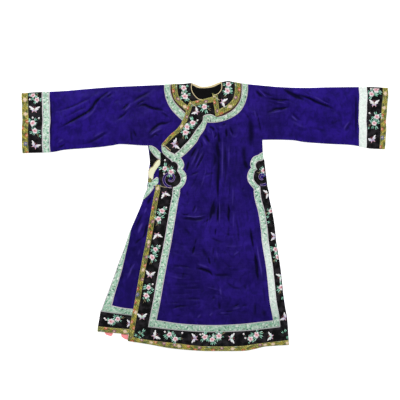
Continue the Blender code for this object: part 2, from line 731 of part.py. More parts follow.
def buttons():
    """Small knot buttons, each with the end of its loop lying beside it."""
    for name, x, y in BUTTONS:
        seat = lap_front(x, y) + SECOND
        edit = bmesh.new()
        bmesh.ops.create_uvsphere(edit, u_segments=10, v_segments=6, radius=BUTTON_R * MM)
        centre = Vector((x, y, seat + BUTTON_FLATNESS * BUTTON_R)) * MM
        for vert in edit.verts:
            vert.co.z *= BUTTON_FLATNESS
            vert.co += centre
        add_object(name, edit, "cream")
        start = x + BUTTON_R + SEAM
        path = [(start + out, y + LOOP_SLOPE * out) for out in (0, LOOP_LENGTH / 2, LOOP_LENGTH)]
        piping(name.replace("button", "loop"), path, lap_front, "cream")


for old in list(bpy.data.objects):
    bpy.data.objects.remove(old, do_unlink=True)
robe = bpy.data.collections.new("chinese_robe")
bpy.context.scene.collection.children.link(robe)
body_left()
body_right()
front_lap()
for hand in ("left", "right"):
    sleeve_end(hand)
collar()
lap_trims()
ruyi("ruyi_left", RUYI_LEFT, RUYI_LEFT_RIBBON, lap_front)
ruyi("ruyi_right", RUYI_RIGHT, RUYI_RIGHT_RIBBON, right_front)
underlap_trims()
buttons()
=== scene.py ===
"""The robe's looks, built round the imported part.

Lengths are in millimetres until they become a mesh, and in metres in the stage and the looks. X runs from
cuff to cuff, Y from the hem to the neck and Z up from the surface that the robe lies on. Left is -X, where
the lap closes.
"""
import math

import bpy
import numpy as np
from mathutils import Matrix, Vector


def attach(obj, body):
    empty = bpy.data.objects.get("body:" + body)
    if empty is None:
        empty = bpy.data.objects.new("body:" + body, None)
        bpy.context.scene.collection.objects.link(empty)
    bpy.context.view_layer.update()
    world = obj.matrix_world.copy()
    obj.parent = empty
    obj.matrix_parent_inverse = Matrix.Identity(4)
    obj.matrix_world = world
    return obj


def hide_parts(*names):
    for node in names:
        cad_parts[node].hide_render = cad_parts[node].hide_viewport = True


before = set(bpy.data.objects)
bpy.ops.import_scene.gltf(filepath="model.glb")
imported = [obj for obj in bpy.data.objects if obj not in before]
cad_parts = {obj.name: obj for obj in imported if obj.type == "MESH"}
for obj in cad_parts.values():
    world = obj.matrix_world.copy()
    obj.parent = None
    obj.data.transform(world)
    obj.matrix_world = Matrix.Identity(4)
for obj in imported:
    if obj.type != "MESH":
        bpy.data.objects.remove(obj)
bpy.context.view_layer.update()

CLOTH = 1.6  # wall of the lined silk
TRIM = 1.0  # wall of a ribbon or binding
BAND = 0.5  # wall of a satin band
LINING = 0.3  # wall of the coral lining, and of the silk laid on the cloud heads
PIPING_WIDTH = 2.4
CORD_HEIGHT = 0.6  # of a piping or cord, as a share of its width
SEAM = 0.3  # space between two pieces that meet
TUBE_SEAM = 0.09  # space between two lengths of a sleeve end
CONTACT = 2 * CLOTH + SEAM  # top of the front where it lies on the back
LOFT = 3.5  # how much higher the front lies along the shoulders
LOFT_RUN = 130  # the length over which it rises
LAP_LIFT = 0.55  # space between the underlap and the lap
LAP_RUN = 120  # the right front comes down from the lap's height over this length

# Heights over a trim's level: its underside, and its upper side where that starts to rise
UNDERSIDE, UPPER_START = 0.04, 0.12
FIRST_LEVEL = 0.12  # bands that lie just over another piece start here
SECOND_LEVEL, THIRD_LEVEL = UPPER_START + BAND, 1.3  # trims that lie on a band, and on those, start here
LAP_TRIM_LEVEL = SECOND_LEVEL + 0.15  # the lap's trims lie clear of the collar's
UNDERLAP_STEP = 0.06  # each trim of the underlap lies this much higher than the one before
CROWN_EDGE = 1.3  # a trim rises over this width at its edges
PAST_SHOULDER, MOST_TURN = 6, 2.2  # a trim runs on over the shoulder by this much, and turns this far

# What holds the cloth down
FADE = 34  # folds and creases die out over this length before it
FOLD_TAPER = 40  # a fold rises and falls over this length at its ends
LEFT_HOLD, LAP_HOLD = 26, 4  # widths beside the left side edge, and under the lap's edge
HEM_HOLD_Y = 300  # the left front is free of its hem above this place

LAP_SEAM_X = 50  # centre front seam
BACK_SEAM_X = 10  # centre back seam
UNDERLAP_X = 38  # hidden inner edge of the underlap
NECK_X = {"left": -53, "right": 66}
SIDE_X = {"left": -217, "right": 218}  # side of the body above the underarm
SLEEVE_X = {"left": -410, "right": 407}  # seam between the body and the sleeve extension
RUYI_END_Y = 99  # the side borders start here, under the cloud heads

# Sleeve end: the lines across the sleeve at its top edge and at its bottom edge
CUFFS = {
    "left": {"ribbon": (-589, -589), "band": (-619, -619), "binding": (-672, -672), "end": (-696, -696)},
    "right": {"ribbon": (585, 585), "band": (616, 614), "binding": (676, 663), "end": (696, 684)},
}
# Its trims: the line where each stops, its columns, its look and how far it stands off the silk
CUFF_TRIMS = {
    "ribbon": ("band", 8, "ribbon", 0.6), "band": ("binding", 12, "satin", 0.3),
    "binding": ("end", 6, "brocade", 0.6),
}
STRAY = [(1.2, 23, 1), (0.6, 10, 0)]  # how far the lines of a cuff stray, over which length and from where
STRAY_IN = 0.6  # and how far in they lie
STEADY_X, STEADY_RUN = 500, 80  # they stray past this place, fully after this length

# Outlines as rows (x, y)
SHOULDER = [
    (-696, 467), (-627, 471), (-536, 475), (-445, 483), (-353, 490), (-262, 494), (-171, 498), (-80, 502),
    (-53, 505), (66, 509), (87, 513), (125, 505), (194, 498), (285, 490), (376, 487), (467, 489), (559, 490),
    (627, 490), (696, 486),
]
UNDERARM = [
    (-696, 239), (-581, 243), (-536, 251), (-445, 258), (-399, 262), (-353, 268), (-323, 273), (-217, 268),
    (218, 289), (331, 288), (376, 281), (467, 274), (559, 269), (627, 257), (696, 254),
]
FRONT_HEM = [
    (-294, -475), (-209, -488), (-133, -502), (-19, -512), (60, -513), (152, -512), (190, -505), (228, -496),
    (319, -490),
]
BINDING_TOP = [(-290, -457), (-209, -472), (-95, -485), (-19, -494), (133, -494), (209, -484), (319, -471)]
BAND_TOP = [(-285, -413), (-213, -422), (-95, -435), (19, -441), (152, -437), (228, -429), (319, -418)]
RIBBON_TOP = [(-280, -386), (-184, -395), (-95, -408), (19, -414), (133, -410), (209, -402), (319, -389)]
BACK_HEM = [(-405, -433), (-353, -438), (-293, -446), (-171, -481), (-19, -498), (152, -498), (319, -479)]
UNDERLAP_HEM = [(-407, -439), (-293, -448), (-171, -471), (38, -488)]
LAP_TOP = [(-57, 428), (-40, 433), (-19, 439), (10, 444), (22, 446), (34, 451), (50, 459)]
BACK_NECK = [(-53, 505), (-38, 501), (-19, 493), (11, 490), (34, 497), (57, 507), (66, 509)]
FRONT_NECK = {
    "left": [(-53, 500), (-49, 471), (-38, 450), (-19, 441), (5, 440), (38, 443)],
    "right": [(50, 459), (58, 471), (64, 482), (66, 505)],
}

# Outlines as rows (y, x)
SIDE_EDGE = {
    "left": [
        (-441, -407), (-365, -395), (-319, -380), (-274, -361), (-228, -346), (-182, -331), (-137, -312),
        (-91, -296), (-46, -281), (0, -262), (46, -243), (80, -231), (99, -221), (122, -216), (175, -215),
        (194, -211), (213, -209), (243, -206), (266, -209),
    ],
    "right": [
        (-490, 319), (-388, 312), (-319, 300), (-251, 293), (-182, 285), (-91, 270), (-46, 266), (23, 255),
        (68, 243), (114, 236), (160, 229), (205, 223), (251, 218), (289, 218),
    ],
}
LAP_EDGE = [
    (-475, -294), (-395, -281), (-319, -266), (-243, -253), (-167, -239), (-91, -224), (-15, -211),
    (61, -198), (99, -190), (116, -188), (130, -178), (144, -177), (182, -173), (232, -167), (270, -163),
    (300, -141), (334, -99), (365, -80), (395, -72), (437, -57),
]

LAP_BORDER = (0, 19, 68, 96)  # lines of binding, band and ribbon, in from the edge of the lap
RIGHT_BORDER = (54, 28)  # inner and outer line of the ribbon, in from the right side edge

# Folds: both ends, half width and height
FOLDS = [
    (-560, 345, -440, 440, 22, 4.0), (-495, 330, -385, 455, 20, 3.0), (-345, 330, -190, 392, 24, 4.0),
    (-330, 400, -215, 445, 22, 3.0), (285, 440, 495, 362, 20, 4.5), (330, 470, 540, 425, 20, 3.5),
    (235, 360, 350, 400, 22, 3.0), (540, 380, 610, 330, 22, 2.5), (20, 340, 26, 205, 16, 3.0),
    (-36, 215, -20, 60, 16, 2.5), (-15, 0, 5, -160, 18, 3.5), (-110, -135, 45, -190, 20, 4.0),
    (-75, -222, 45, -265, 22, 4.0), (-120, -330, 40, -345, 22, 2.5), (-110, 20, -75, -75, 20, 2.5),
    (80, 330, 82, 190, 16, 3.0), (122, 330, 140, 175, 18, 3.5), (95, 120, 110, -40, 18, 3.0),
    (105, -95, 130, -230, 18, 3.5), (165, -50, 190, -240, 20, 4.0), (75, -275, 175, -300, 22, 3.5),
    (175, 400, 200, 285, 18, 3.0), (70, 150, 72, 20, 14, 2.5),
]
# Creases: half width, height and the places that the line goes through
CREASES = [
    (4.5, -3.6, -383, 480, -399, 448, -414, 433, -429, 410, -445, 395, -467, 382, -505, 361, -543, 340, -583,
     323), (7, -2.2, -395, 456, -414, 433, -429, 414),
    (4, -2.2, -426, 476, -437, 448, -460, 437, -490, 422, -528, 407, -575, 395),
    (4, -1.8, -440, 423, -460, 410, -483, 401, -505, 388, -537, 372),
    (4.5, -2.4, -356, 479, -384, 460, -403, 440), (4, -2.2, -346, 470, -365, 456, -380, 448),
    (3.5, 1.4, -350, 478, -383, 449), (4.5, 1.2, -402, 434, -426, 395, -448, 376, -483, 356),
    (6, -2.4, -193, 484, -224, 464, -255, 448, -274, 433, -294, 426),
    (4, -3, -281, 433, -300, 418, -319, 399), (4, 1.6, -278, 425, -293, 410, -311, 392),
    (4, -2.5, -288, 404, -304, 388, -319, 376, -340, 361),
    (4.5, -2.6, -218, 443, -243, 433, -258, 422, -265, 409),
    (5, -3.6, -275, 407, -247, 418, -228, 422, -213, 414, -190, 407, -167, 403, -132, 388),
    (3.5, -2.2, -176, 398, -152, 384, -128, 369), (3, 1.4, -166, 403, -138, 382),
    (5, -0.9, -314, 452, -338, 437, -362, 413), (5, -0.8, -293, 469, -326, 450),
    (3.5, -1.2, -233, 364, -209, 369, -189, 376),
    (5.5, -3.6, -116, 364, -148, 353, -171, 350, -186, 340, -205, 323, -222, 300),
    (4, -2.2, -218, 289, -201, 300, -186, 310, -166, 292), (4, 1.8, -215, 299, -186, 323, -153, 337),
    (5, -2.2, -344, 326, -376, 315, -399, 300, -422, 287, -452, 276, -492, 268),
    (4.5, 1.2, -369, 327, -399, 312, -436, 291), (5, -0.8, -324, 353, -353, 338, -391, 324),
    (4, -2.8, -282, 333, -279, 304, -277, 271), (4, -2.8, -275, 335, -266, 312, -256, 292),
    (3.5, 1, -276, 315, -271, 286), (4, -2.6, -524, 280, -543, 266, -567, 256),
    (4, 1.2, -533, 295, -562, 275), (4, -1.2, -549, 302, -572, 287), (5, -0.8, -460, 359, -494, 344),
    (4, -0.8, -226, 340, -236, 312, -226, 283), (4, -1.4, -441, 439, -437, 420),
    (6.5, -3.8, 281, 491, 312, 473, 334, 460, 357, 448, 393, 436),
    (4.2, -4, 321, 468, 361, 457, 380, 452, 399, 445, 422, 433, 456, 420, 479, 410, 513, 388),
    (3.5, 2, 390, 459, 429, 445, 456, 429, 479, 420, 505, 396),
    (3, -2, 421, 450, 452, 437, 475, 424, 490, 412, 510, 399), (3.5, -1.6, 367, 478, 391, 464, 415, 449),
    (3, -1.8, 473, 404, 496, 390), (6, -3.2, 186, 483, 205, 464, 224, 444),
    (3.5, 1.8, 193, 491, 217, 467, 241, 443), (3.5, -2.4, 202, 483, 228, 467, 247, 458, 269, 449),
    (4, -2.8, 211, 447, 239, 445, 262, 443, 285, 439, 308, 441, 323, 437, 350, 421),
    (3, 1.2, 255, 436, 289, 430, 322, 424), (4, -1.6, 221, 444, 247, 433, 266, 426, 292, 415),
    (4.2, -4, 247, 404, 274, 407, 296, 408, 323, 415), (5, -1.8, 226, 390, 255, 399, 279, 404),
    (3.5, 1.2, 240, 388, 270, 395, 307, 402), (4, -2, 317, 405, 338, 384, 353, 370, 379, 352),
    (4, 2, 324, 387, 338, 372, 357, 358), (6, 0.8, 311, 370, 346, 350, 372, 338, 400, 330),
    (5, -1, 315, 345, 350, 331, 396, 321), (5, -1.4, 382, 336, 418, 331, 441, 327, 472, 311),
    (5, -1.3, 452, 329, 483, 350, 505, 361, 542, 361), (5, -1.6, 558, 362, 543, 338, 534, 314),
    (4, 1.6, 555, 366, 532, 338, 527, 317), (4, -1, 491, 303, 520, 313), (3.5, -3, 573, 511, 573, 249),
    (4, -1.4, 560, 488, 560, 272), (3.5, -3, -585, 496, -585, 230), (4, -1.5, -574, 466, -574, 355),
    (4, -1.2, 467, 451, 472, 427), (5, -0.8, 433, 459, 471, 464), (3, -1.2, 297, 470, 315, 452, 326, 447),
    (3.5, -2.4, 191, 412, 201, 372, 209, 338, 219, 295), (3, 1.6, 185, 408, 194, 380, 201, 360),
    (5, -3.6, 12, 344, 27, 334, 41, 320), (3.5, -2, 37, 327, 42, 308, 32, 289),
    (5, -3.2, -12, 316, 4, 300, 11, 289, 22, 268), (5, 1.3, -14, 305, 0, 281, 10, 261),
    (4, 1, 6, 329, 25, 310), (3, -2, 41, 345, 46, 331, 60, 321), (4, -2.8, 63, 345, 82, 352),
    (4, 0.9, 51, 338, 70, 336), (5, -3, 48, 329, 53, 296, 56, 267),
    (6, -2.4, 45, 289, 48, 258, 51, 243, 56, 212), (11, -1.6, 42, 334, 46, 270, 46, 194, 44, 118, 44, 42),
    (4, -2.8, 53, 241, 53, 194, 51, 156, 49, 118, 49, 80, 49, 32),
    (5, 1.3, 66, 329, 66, 270, 66, 213, 65, 156, 62, 97), (4.5, -3.2, 79, 339, 82, 308, 84, 291),
    (5, -1.8, 82, 306, 80, 251, 80, 194, 76, 137, 68, 99, 58, 59),
    (3, -2.4, 94, 347, 99, 327, 106, 312, 106, 299), (4, 1, 89, 342, 99, 312, 114, 300, 131, 317),
    (13, -2.6, 163, 399, 171, 365, 175, 327, 175, 289, 167, 243),
    (10, -2.3, 148, 285, 148, 251, 150, 213, 152, 182), (8, -2.8, 148, 213, 156, 194, 162, 171),
    (4, -1.6, 145, 399, 163, 376, 169, 360), (4, -2.4, -21, 289, -11, 270, -16, 250),
    (5, -3.2, -27, 267, -46, 239, -56, 215), (5, -3.8, -60, 214, -65, 194, -72, 166),
    (5, 1.1, -19, 271, -34, 232, -49, 201, -61, 174), (3.5, -2.2, -16, 260, -27, 228, -34, 209, -49, 174),
    (5, 1.1, 1, 259, -19, 224, -30, 201, -46, 166), (4, -2.6, 5, 248, -11, 220, -23, 198, -38, 166),
    (3.5, -2, -61, 150, -42, 160, -18, 169), (4, -1.4, 27, 252, 38, 220, 34, 194, 23, 166),
    (5, -1.6, -9, 150, 15, 160, 44, 164), (3.5, -1, 86, 248, 110, 243, 134, 248),
    (4, -1.8, 144, 112, 144, 93), (3.5, -1.2, 123, 90, 152, 76, 185, 71), (5, -1.8, -69, 98, -64, 69),
    (4, -1.2, -83, 53, -54, 51), (3, 1, 87, 120, 92, 62), (4, -3.4, 50, 51, 49, 19, 48, -4, 45, -35),
    (5, -3.2, 44, 73, 30, 42, 25, 19, 21, -4, 16, -36), (7, -2.6, 38, 49, 34, 23, 32, -4),
    (3, 1.5, 55, 70, 55, 4, 55, -44), (3, -1.6, 68, 51, 68, 32),
    (4.5, -3.8, 86, 55, 91, 23, 89, -4, 94, -40), (5, -1.6, 92, -23, 89, -61, 87, -95),
    (4.5, -1.8, 123, 28, 118, -8, 125, -46, 127, -84, 120, -131), (4, -1.6, 154, 38, 162, 0, 166, -34),
    (4.5, -3.2, 170, -29, 175, -68, 180, -99, 188, -139),
    (5.5, -4.2, 189, -120, 192, -160, 196, -186, 198, -213, 201, -236, 199, -264),
    (3.5, 2, 194, -86, 201, -137, 207, -175, 213, -205, 218, -253), (3, -1.6, 207, -105, 211, -153),
    (3.5, -2.4, -95, 14, -76, 4, -52, 9), (3.2, 1.8, -97, 1, -57, -3, -27, -4, 9, 6),
    (5, -2.6, -112, -9, -65, -11, -34, -13, -8, -10, 20, 4), (4, -2.4, -32, 46, -42, 27, -49, 7),
    (3, 1.2, -27, 38, -44, 4), (3.5, -1.4, -15, -33, 4, -19, 23, -9), (2.8, -2.4, 40, -42, 39, -80),
    (4, -1.2, 24, -24, 19, -57, 19, -82), (6, -1.8, -88, -42, -68, -57, -54, -81),
    (3.5, -2, -34, -80, -38, -114), (3.8, -4, -37, -110, -44, -129, -47, -148),
    (4, -1.8, 8, -82, 30, -87, 49, -95, 80, -100), (8, -1.8, -27, -122, -11, -129, 4, -148, 15, -171),
    (4, -2.8, 12, -152, 17, -175, 25, -190), (4, -1.8, 35, -109, 32, -133, 30, -157),
    (3, -1.6, 36, -149, 40, -182), (3, 1, 43, -124, 48, -172), (3, -2, 66, -132, 86, -146),
    (3.5, 1.2, 137, -131, 118, -141, 103, -155), (3.5, -1.8, 59, -167, 80, -182, 91, -192, 117, -189),
    (4, -2, -142, -185, -110, -190, -87, -190, -65, -194, -37, -202),
    (4.5, -4.2, -44, -196, -15, -201, 4, -207, 19, -213, 27, -224, 36, -238),
    (6, -2.4, 22, -218, 42, -224, 61, -224, 84, -224, 103, -231), (5, 1.2, -42, -176, 0, -192, 30, -204),
    (4, -1.4, -79, -209, -84, -228, -79, -243), (4, -1, -104, -243, -57, -243, -19, -241, 20, -229),
    (4, -1.6, -88, -274, -49, -274, -7, -274), (4, 0.9, -78, -262, -21, -262), (3.5, -1, -13, -295, 1, -275),
    (4, -2, -85, -316, -57, -314, -34, -315, 1, -315),
    (4, -2.4, -138, -357, -110, -346, -87, -342, -48, -342), (4, -1.2, -63, -342, -34, -334, -5, -330),
    (3.5, -2.2, 25, -316, 39, -307), (4, -1.6, -113, -380, -89, -376), (4, -1.2, -165, -380, -146, -384),
    (4, 1.2, -32, -390, -13, -370), (4, 1.2, 13, -382, 32, -363), (5, -2.4, 53, -323, 55, -342, 55, -361),
    (4, 1.2, 56, -255, 61, -304, 66, -326), (3.5, -2.2, 67, -361, 91, -363, 115, -361),
    (3, 1.4, 47, -366, 72, -369, 105, -369), (3.5, -1.4, 61, -381, 80, -374, 99, -377),
    (3.5, -2.4, 99, -347, 118, -340, 137, -331), (3.5, -2.2, 133, -345, 148, -340, 167, -340),
    (3.5, 1.2, 94, -354, 122, -350, 142, -342), (5, -2, 65, -238, 87, -255, 103, -268, 118, -274, 154, -279),
    (18, -1.2, 99, -243, 141, -251, 194, -255), (5, -1.4, 147, -255, 157, -284),
    (5, -2.2, 190, -315, 190, -350, 192, -392), (8, -2.2, 224, -353, 226, -388),
    (5, -1.8, 214, -249, 224, -289, 228, -319, 239, -351), (2.8, 1.2, 231, -300, 238, -338),
    (10, -1.2, 125, -365, 171, -365), (6, -2.8, -199, 80, -213, 57, -223, 37),
    (5, -2.4, -232, 19, -247, -11, -258, -34, -270, -57), (4, 1.5, -219, 38, -233, 4),
    (5, -3.2, -214, -10, -224, -46, -232, -76, -255, -93), (5, 1.8, -233, -17, -247, -46, -257, -75),
    (5, -2.4, -240, -85, -255, -95, -269, -109), (12, -1.4, -270, -106, -274, -148),
    (3.5, -2.2, -272, -171, -281, -190, -291, -205),
    (4, 1.6, -256, -167, -274, -190, -281, -205, -300, -252), (5, -2.4, -306, -204, -315, -228, -320, -252),
    (4, -1.2, -321, -255, -331, -289, -335, -327), (4, 1.2, -246, -118, -256, -156),
    (3.2, -1.6, -1, 357, 2, 327, 9, 290), (3.2, 1.2, 21, 350, 30, 312, 35, 273),
    (3.2, -1.4, 74, 306, 76, 251, 74, 205, 72, 158), (3.2, 1.2, 91, 291, 91, 232, 89, 165),
    (3.5, -1.2, 109, 298, 118, 243, 118, 190, 109, 135), (3.2, -1.2, 27, 192, 23, 129, 14, 67),
    (3.2, 1, 10, 203, -4, 144, -22, 90), (3.5, -1.3, 95, 169, 95, 114, 90, 55),
    (3.2, 1.1, 106, 131, 106, 76, 102, 21), (3.5, -1.2, -23, 167, -42, 125, -62, 96),
    (3.2, -1.2, 133, 177, 133, 122, 138, 82), (3.2, -1.3, -157, -207, -118, -217, -80, -220, -33, -235),
    (3.2, 1, -150, -224, -95, -236, -48, -240), (3.2, -1.2, -135, -257, -87, -262, -42, -258, 2, -249),
    (3.2, -1.1, -158, -292, -110, -296, -65, -293, -17, -283),
    (3.2, -1.3, -161, -331, -118, -329, -70, -331), (3.2, 1, -13, -264, 27, -274, 73, -288),
    (3.2, -1.2, -6, -301, 34, -296, 65, -304, 104, -319), (3.2, -1.2, 70, -200, 118, -205, 165, -200),
    (3.2, -1.2, 51, -63, 103, -72, 142, -67), (3.2, 1, 55, -109, 103, -116, 165, -109),
    (3.5, -1.3, -150, -88, -103, -103, -56, -121), (3.2, -1.2, -153, -127, -110, -137, -72, -156),
    (3.5, -1.4, 12, 16, 8, -23, -2, -61), (3.5, 1, 106, 40, 108, -15, 106, -70),
    (3.2, -1.2, 136, 17, 139, -38, 136, -93),
]
CREASE_DEPTH = 1.6  # they are this many times as high as drawn
CREASE_REACH = 3  # and have died out at this many half widths
CREASE_RISE, CREASE_START = 0.42, 0.06  # share of the length over which a crease rises, and its first rise
CREASE_THIN = 0.6  # the share of its width that its ends have
CREASE_PARTS = 3  # straight pieces between two places of its line
PLAY = 3.4  # the cloth lies this much above its solid where nothing holds it down
WAVES = [(150, 0.8), (95, 0.6), (60, 0.4), (38, 0.24), (26, 0.14)]  # lengths and heights
WAVE_BOW, WAVE_WIDTH = 1.3, 2.3  # how far a wave's line bows, and over how many of its lengths
WAVE_SEED = 5
NECK = (3, 495, 166, 142)  # centre and half sizes of what the collar holds down
CUFF_X = (-588, 584)  # where the cuffs hold the sleeves down
LAP_TOP_Y = 437  # top of the lap's edge

# Strips: a row for each section, (x, y) at one edge and (x, y) at the other
COLLAR = {
    "left": {
        "band": [
            (-135, 500, -51, 500), (-135, 483, -52, 484), (-131, 462, -48, 467), (-124, 441, -38, 453),
            (-109, 418, -28, 445), (-87, 397, -19, 441), (-68, 380, -10, 441), (-57, 376, -2, 440),
        ],
        "ribbon": [
            (-155, 499, -131, 499), (-155, 479, -131, 479), (-152, 459, -128, 462), (-147, 441, -122, 445),
            (-139, 422, -113, 430), (-127, 403, -100, 416), (-110, 384, -85, 401), (-91, 366, -69, 386),
            (-80, 356, -61, 378),
        ],
        "binding": [
            (-126, 499, -106, 499), (-125, 479, -105, 479), (-122, 460, -102, 461), (-116, 443, -95, 445),
            (-103, 427, -84, 434), (-87, 412, -74, 425), (-69, 397, -61, 417), (-59, 391, -53, 414),
        ],
        "cord": [
            (-129, 498.5), (-128, 475), (-124.5, 456), (-118, 439.5), (-106.5, 423.5), (-91, 407.5),
            (-78.5, 396.5), (-66.5, 387.5),
        ],
        "piping": [
            (-50.5, 501), (-52, 486.5), (-49, 473), (-41.5, 460), (-31, 448.5), (-20.5, 442.5),
            (-7.5, 441.5),
        ],
    },
    "right": {
        "band": [
            (62, 507, 142, 504), (64, 494, 142, 483), (62, 481, 141, 456), (56, 470, 131, 429),
            (46, 462, 116, 407), (36, 458, 95, 390), (32, 445, 72, 379), (33, 422, 55, 372),
            (35, 399, 40, 371),
        ],
        "ribbon": [
            (163, 504, 139, 504), (163, 475, 139, 479), (159, 448, 137, 455), (150, 423, 131, 435),
            (137, 401, 120, 418), (119, 384, 105, 402), (95, 370, 87, 390), (68, 360, 65, 380),
            (43, 355, 42, 378), (25, 354, 25, 386), (11, 355, 8, 386), (7, 363, -6, 380), (6, 365, -8, 370),
        ],
        "binding": [
            (134, 504, 113, 504), (135, 481, 114, 483), (133, 458, 112, 464), (128, 440, 107, 447),
            (117, 423, 97, 433), (101, 407, 84, 421), (81, 395, 68, 412), (62, 385, 55, 406),
            (42, 377, 43, 399),
        ],
        "front_binding": [
            (27, 466, 48, 458), (30, 448, 49, 442), (32, 429, 51, 426), (35, 410, 53, 408),
            (38, 393, 51, 391), (40, 376, 44, 378),
        ],
        "cord": [
            (136.5, 504.5), (137, 479), (134.5, 456), (129, 436), (118.5, 419.5), (103.5, 404.5),
            (84.5, 392), (64.5, 382.5), (42, 374.5),
        ],
        "piping": [(62, 508.5), (64, 496), (63.5, 484.5), (59, 474), (50.5, 465), (42, 460.5), (30.5, 457)],
    },
}
BACK_NECK_BINDING = [
    (-52, 505, -51, 498), (-38, 500, -40, 493), (-27, 495, -30, 487), (-11, 492, -12, 485),
    (11, 493, 12, 486), (30, 498, 33, 490), (46, 505, 49, 498), (63, 511, 63, 504),
]
LAP_BINDING = [
    (-57, 439, -52, 437), (-62, 428, -48, 423), (-68, 414, -51, 409), (-72, 399, -57, 393),
    (-77, 382, -63, 376), (-84, 366, -68, 361), (-93, 349, -78, 344), (-106, 331, -89, 327),
    (-124, 316, -104, 312), (-139, 302, -120, 299), (-149, 290, -135, 285), (-160, 278, -146, 273),
    (-165, 271, -157, 268),
]
LAP_TOP_BINDING = [
    (-59, 432, -59, 413), (-42, 436, -40, 418), (-23, 440, -21, 422), (0, 445, 2, 427), (19, 450, 21, 431),
    (34, 452, 35, 433),
]
LAP_BAND = [
    (-57, 429, 36, 437), (-57, 418, 38, 418), (-61, 403, 40, 403), (-66, 390, 41, 382), (-68, 376, 4, 372),
    (-73, 363, -2, 357), (-81, 346, -11, 344), (-93, 329, -23, 328), (-108, 315, -34, 315),
    (-124, 304, -45, 299), (-137, 291, -57, 284), (-147, 281, -68, 270), (-156, 270, -82, 255),
    (-150, 259, -93, 245), (-141, 249, -103, 236), (-130, 239, -109, 230), (-120, 232, -114, 229),
]
LAP_RIBBON = [
    (-8, 376, 6, 366), (-8, 366, 9, 357), (-14, 353, 5, 346), (-23, 342, 0, 332), (-34, 328, -9, 317),
    (-44, 313, -20, 302), (-54, 298, -29, 284), (-66, 283, -40, 270), (-79, 270, -53, 256),
    (-93, 255, -70, 239), (-106, 243, -90, 222), (-114, 238, -104, 215),
]
LAP_END = [(-150, 265), (-141, 256), (-131, 249)]
RUYI = {
    "left": {
        "band": [
            (-169, 241, -158, 239), (-169, 228, -141, 222), (-169, 215, -122, 211), (-170, 201, -100, 201),
            (-171, 188, -99, 188), (-173, 175, -101, 175), (-175, 162, -95, 163), (-176, 150, -90, 148),
            (-173, 137, -90, 133), (-170, 122, -97, 119), (-169, 106, -112, 105), (-171, 87, -116, 87),
        ],
        "ribbon": [
            (-165, 270, -157, 269), (-165, 255, -150, 260), (-161, 240, -141, 250), (-148, 226, -128, 242),
            (-134, 215, -116, 236), (-125, 205, -92, 221), (-125, 205, -92, 221), (-118, 206, -87, 216),
            (-110, 202, -82, 207), (-104, 194, -79, 198), (-103, 184, -80, 187), (-106, 171, -85, 177),
            (-106, 171, -85, 177), (-100, 163, -78, 169), (-95, 154, -72, 158), (-92, 142, -70, 145),
            (-94, 130, -73, 131), (-101, 120, -79, 118), (-111, 113, -87, 109), (-122, 109, -94, 103),
            (-122, 109, -94, 103), (-123, 97, -95, 94), (-125, 84, -97, 82),
        ],
    },
    "right": {
        "band": [
            (209, 214, 224, 217), (194, 205, 226, 209), (190, 192, 227, 196), (192, 180, 229, 182),
            (182, 167, 230, 169), (181, 156, 232, 156), (181, 141, 234, 141), (188, 125, 236, 127),
            (201, 112, 237, 114), (207, 99, 241, 99), (207, 85, 244, 85),
        ],
        "ribbon": [
            (219, 243, 223, 214), (211, 239, 217, 211), (201, 232, 210, 209), (201, 232, 210, 209),
            (192, 229, 203, 208), (182, 223, 198, 204), (176, 214, 194, 198), (172, 202, 193, 191),
            (172, 192, 195, 183), (175, 184, 199, 177), (175, 184, 199, 177), (168, 175, 191, 171),
            (163, 164, 187, 161), (160, 151, 185, 149), (161, 139, 186, 138), (165, 128, 192, 128),
            (173, 117, 200, 119), (185, 103, 210, 112), (185, 103, 210, 112), (186, 93, 211, 95),
            (187, 82, 212, 83),
        ],
    },
}
UNDERLAP_CORD = [
    (-173, 215), (-182, 210), (-192, 198), (-198, 187), (-208, 182), (-214, 169), (-214, 156), (-211, 143),
]
BORDER_CORD = [(-169, 113), (-156, 110), (-141, 109), (-127, 108)]
UNDERLAP = {
    "ruyi_band": [
        (-208, 255, -167, 243), (-208, 236, -167, 228), (-210, 220, -167, 213), (-210, 205, -169, 198),
        (-207, 188, -177, 184), (-198, 179, -184, 175),
    ],
    "ruyi_ribbon": [
        (-214, 268, -209, 249), (-201, 267, -201, 239), (-188, 260, -192, 228), (-176, 249, -180, 218),
        (-165, 238, -166, 211),
    ],
    "ruyi_binding": [
        (-172, 214, -167, 203), (-182, 209, -172, 194), (-191, 197, -179, 185), (-198, 186, -184, 178),
        (-207, 181, -190, 169), (-213, 169, -195, 157), (-214, 156, -197, 145), (-210, 142, -199, 138),
    ],
    "end_binding": [(-217, 142, -204, 145), (-217, 135, -200, 135), (-214, 128, -197, 128)],
    "end_ribbon": [
        (-216, 127, -218, 108), (-201, 135, -201, 112), (-192, 142, -186, 115), (-182, 148, -176, 116),
        (-172, 138, -166, 117),
    ],
    "side_ribbon": [
        (-396, -364, -353, -340), (-386, -334, -350, -328), (-373, -299, -343, -299),
        (-352, -243, -326, -243), (-338, -205, -315, -205), (-325, -167, -306, -167),
        (-310, -129, -297, -129), (-297, -91, -288, -91), (-284, -53, -281, -53),
    ],
    "upper_ribbon": [
        (-235, 69, -233, 63), (-230, 83, -220, 74), (-223, 98, -207, 88), (-218, 113, -196, 103),
        (-214, 122, -192, 110),
    ],
    "hem_ribbon": [(-355, -339, -394, -363), (-312, -348, -336, -371), (-272, -353, -279, -378)],
    "band": [(-396, -357, -407, -421), (-336, -369, -345, -427), (-279, -375, -287, -432)],
    "binding": [(-407, -419, -409, -439), (-345, -425, -347, -444), (-287, -430, -290, -450)],
}
HEM_LINING = [
    [(-384, -431, -378, -450), (-363, -433, -359, -456), (-350, -433, -351, -452)],
    [(-319, -437, -318, -458), (-306, -439, -305, -467), (-291, -441, -293, -470)],
]
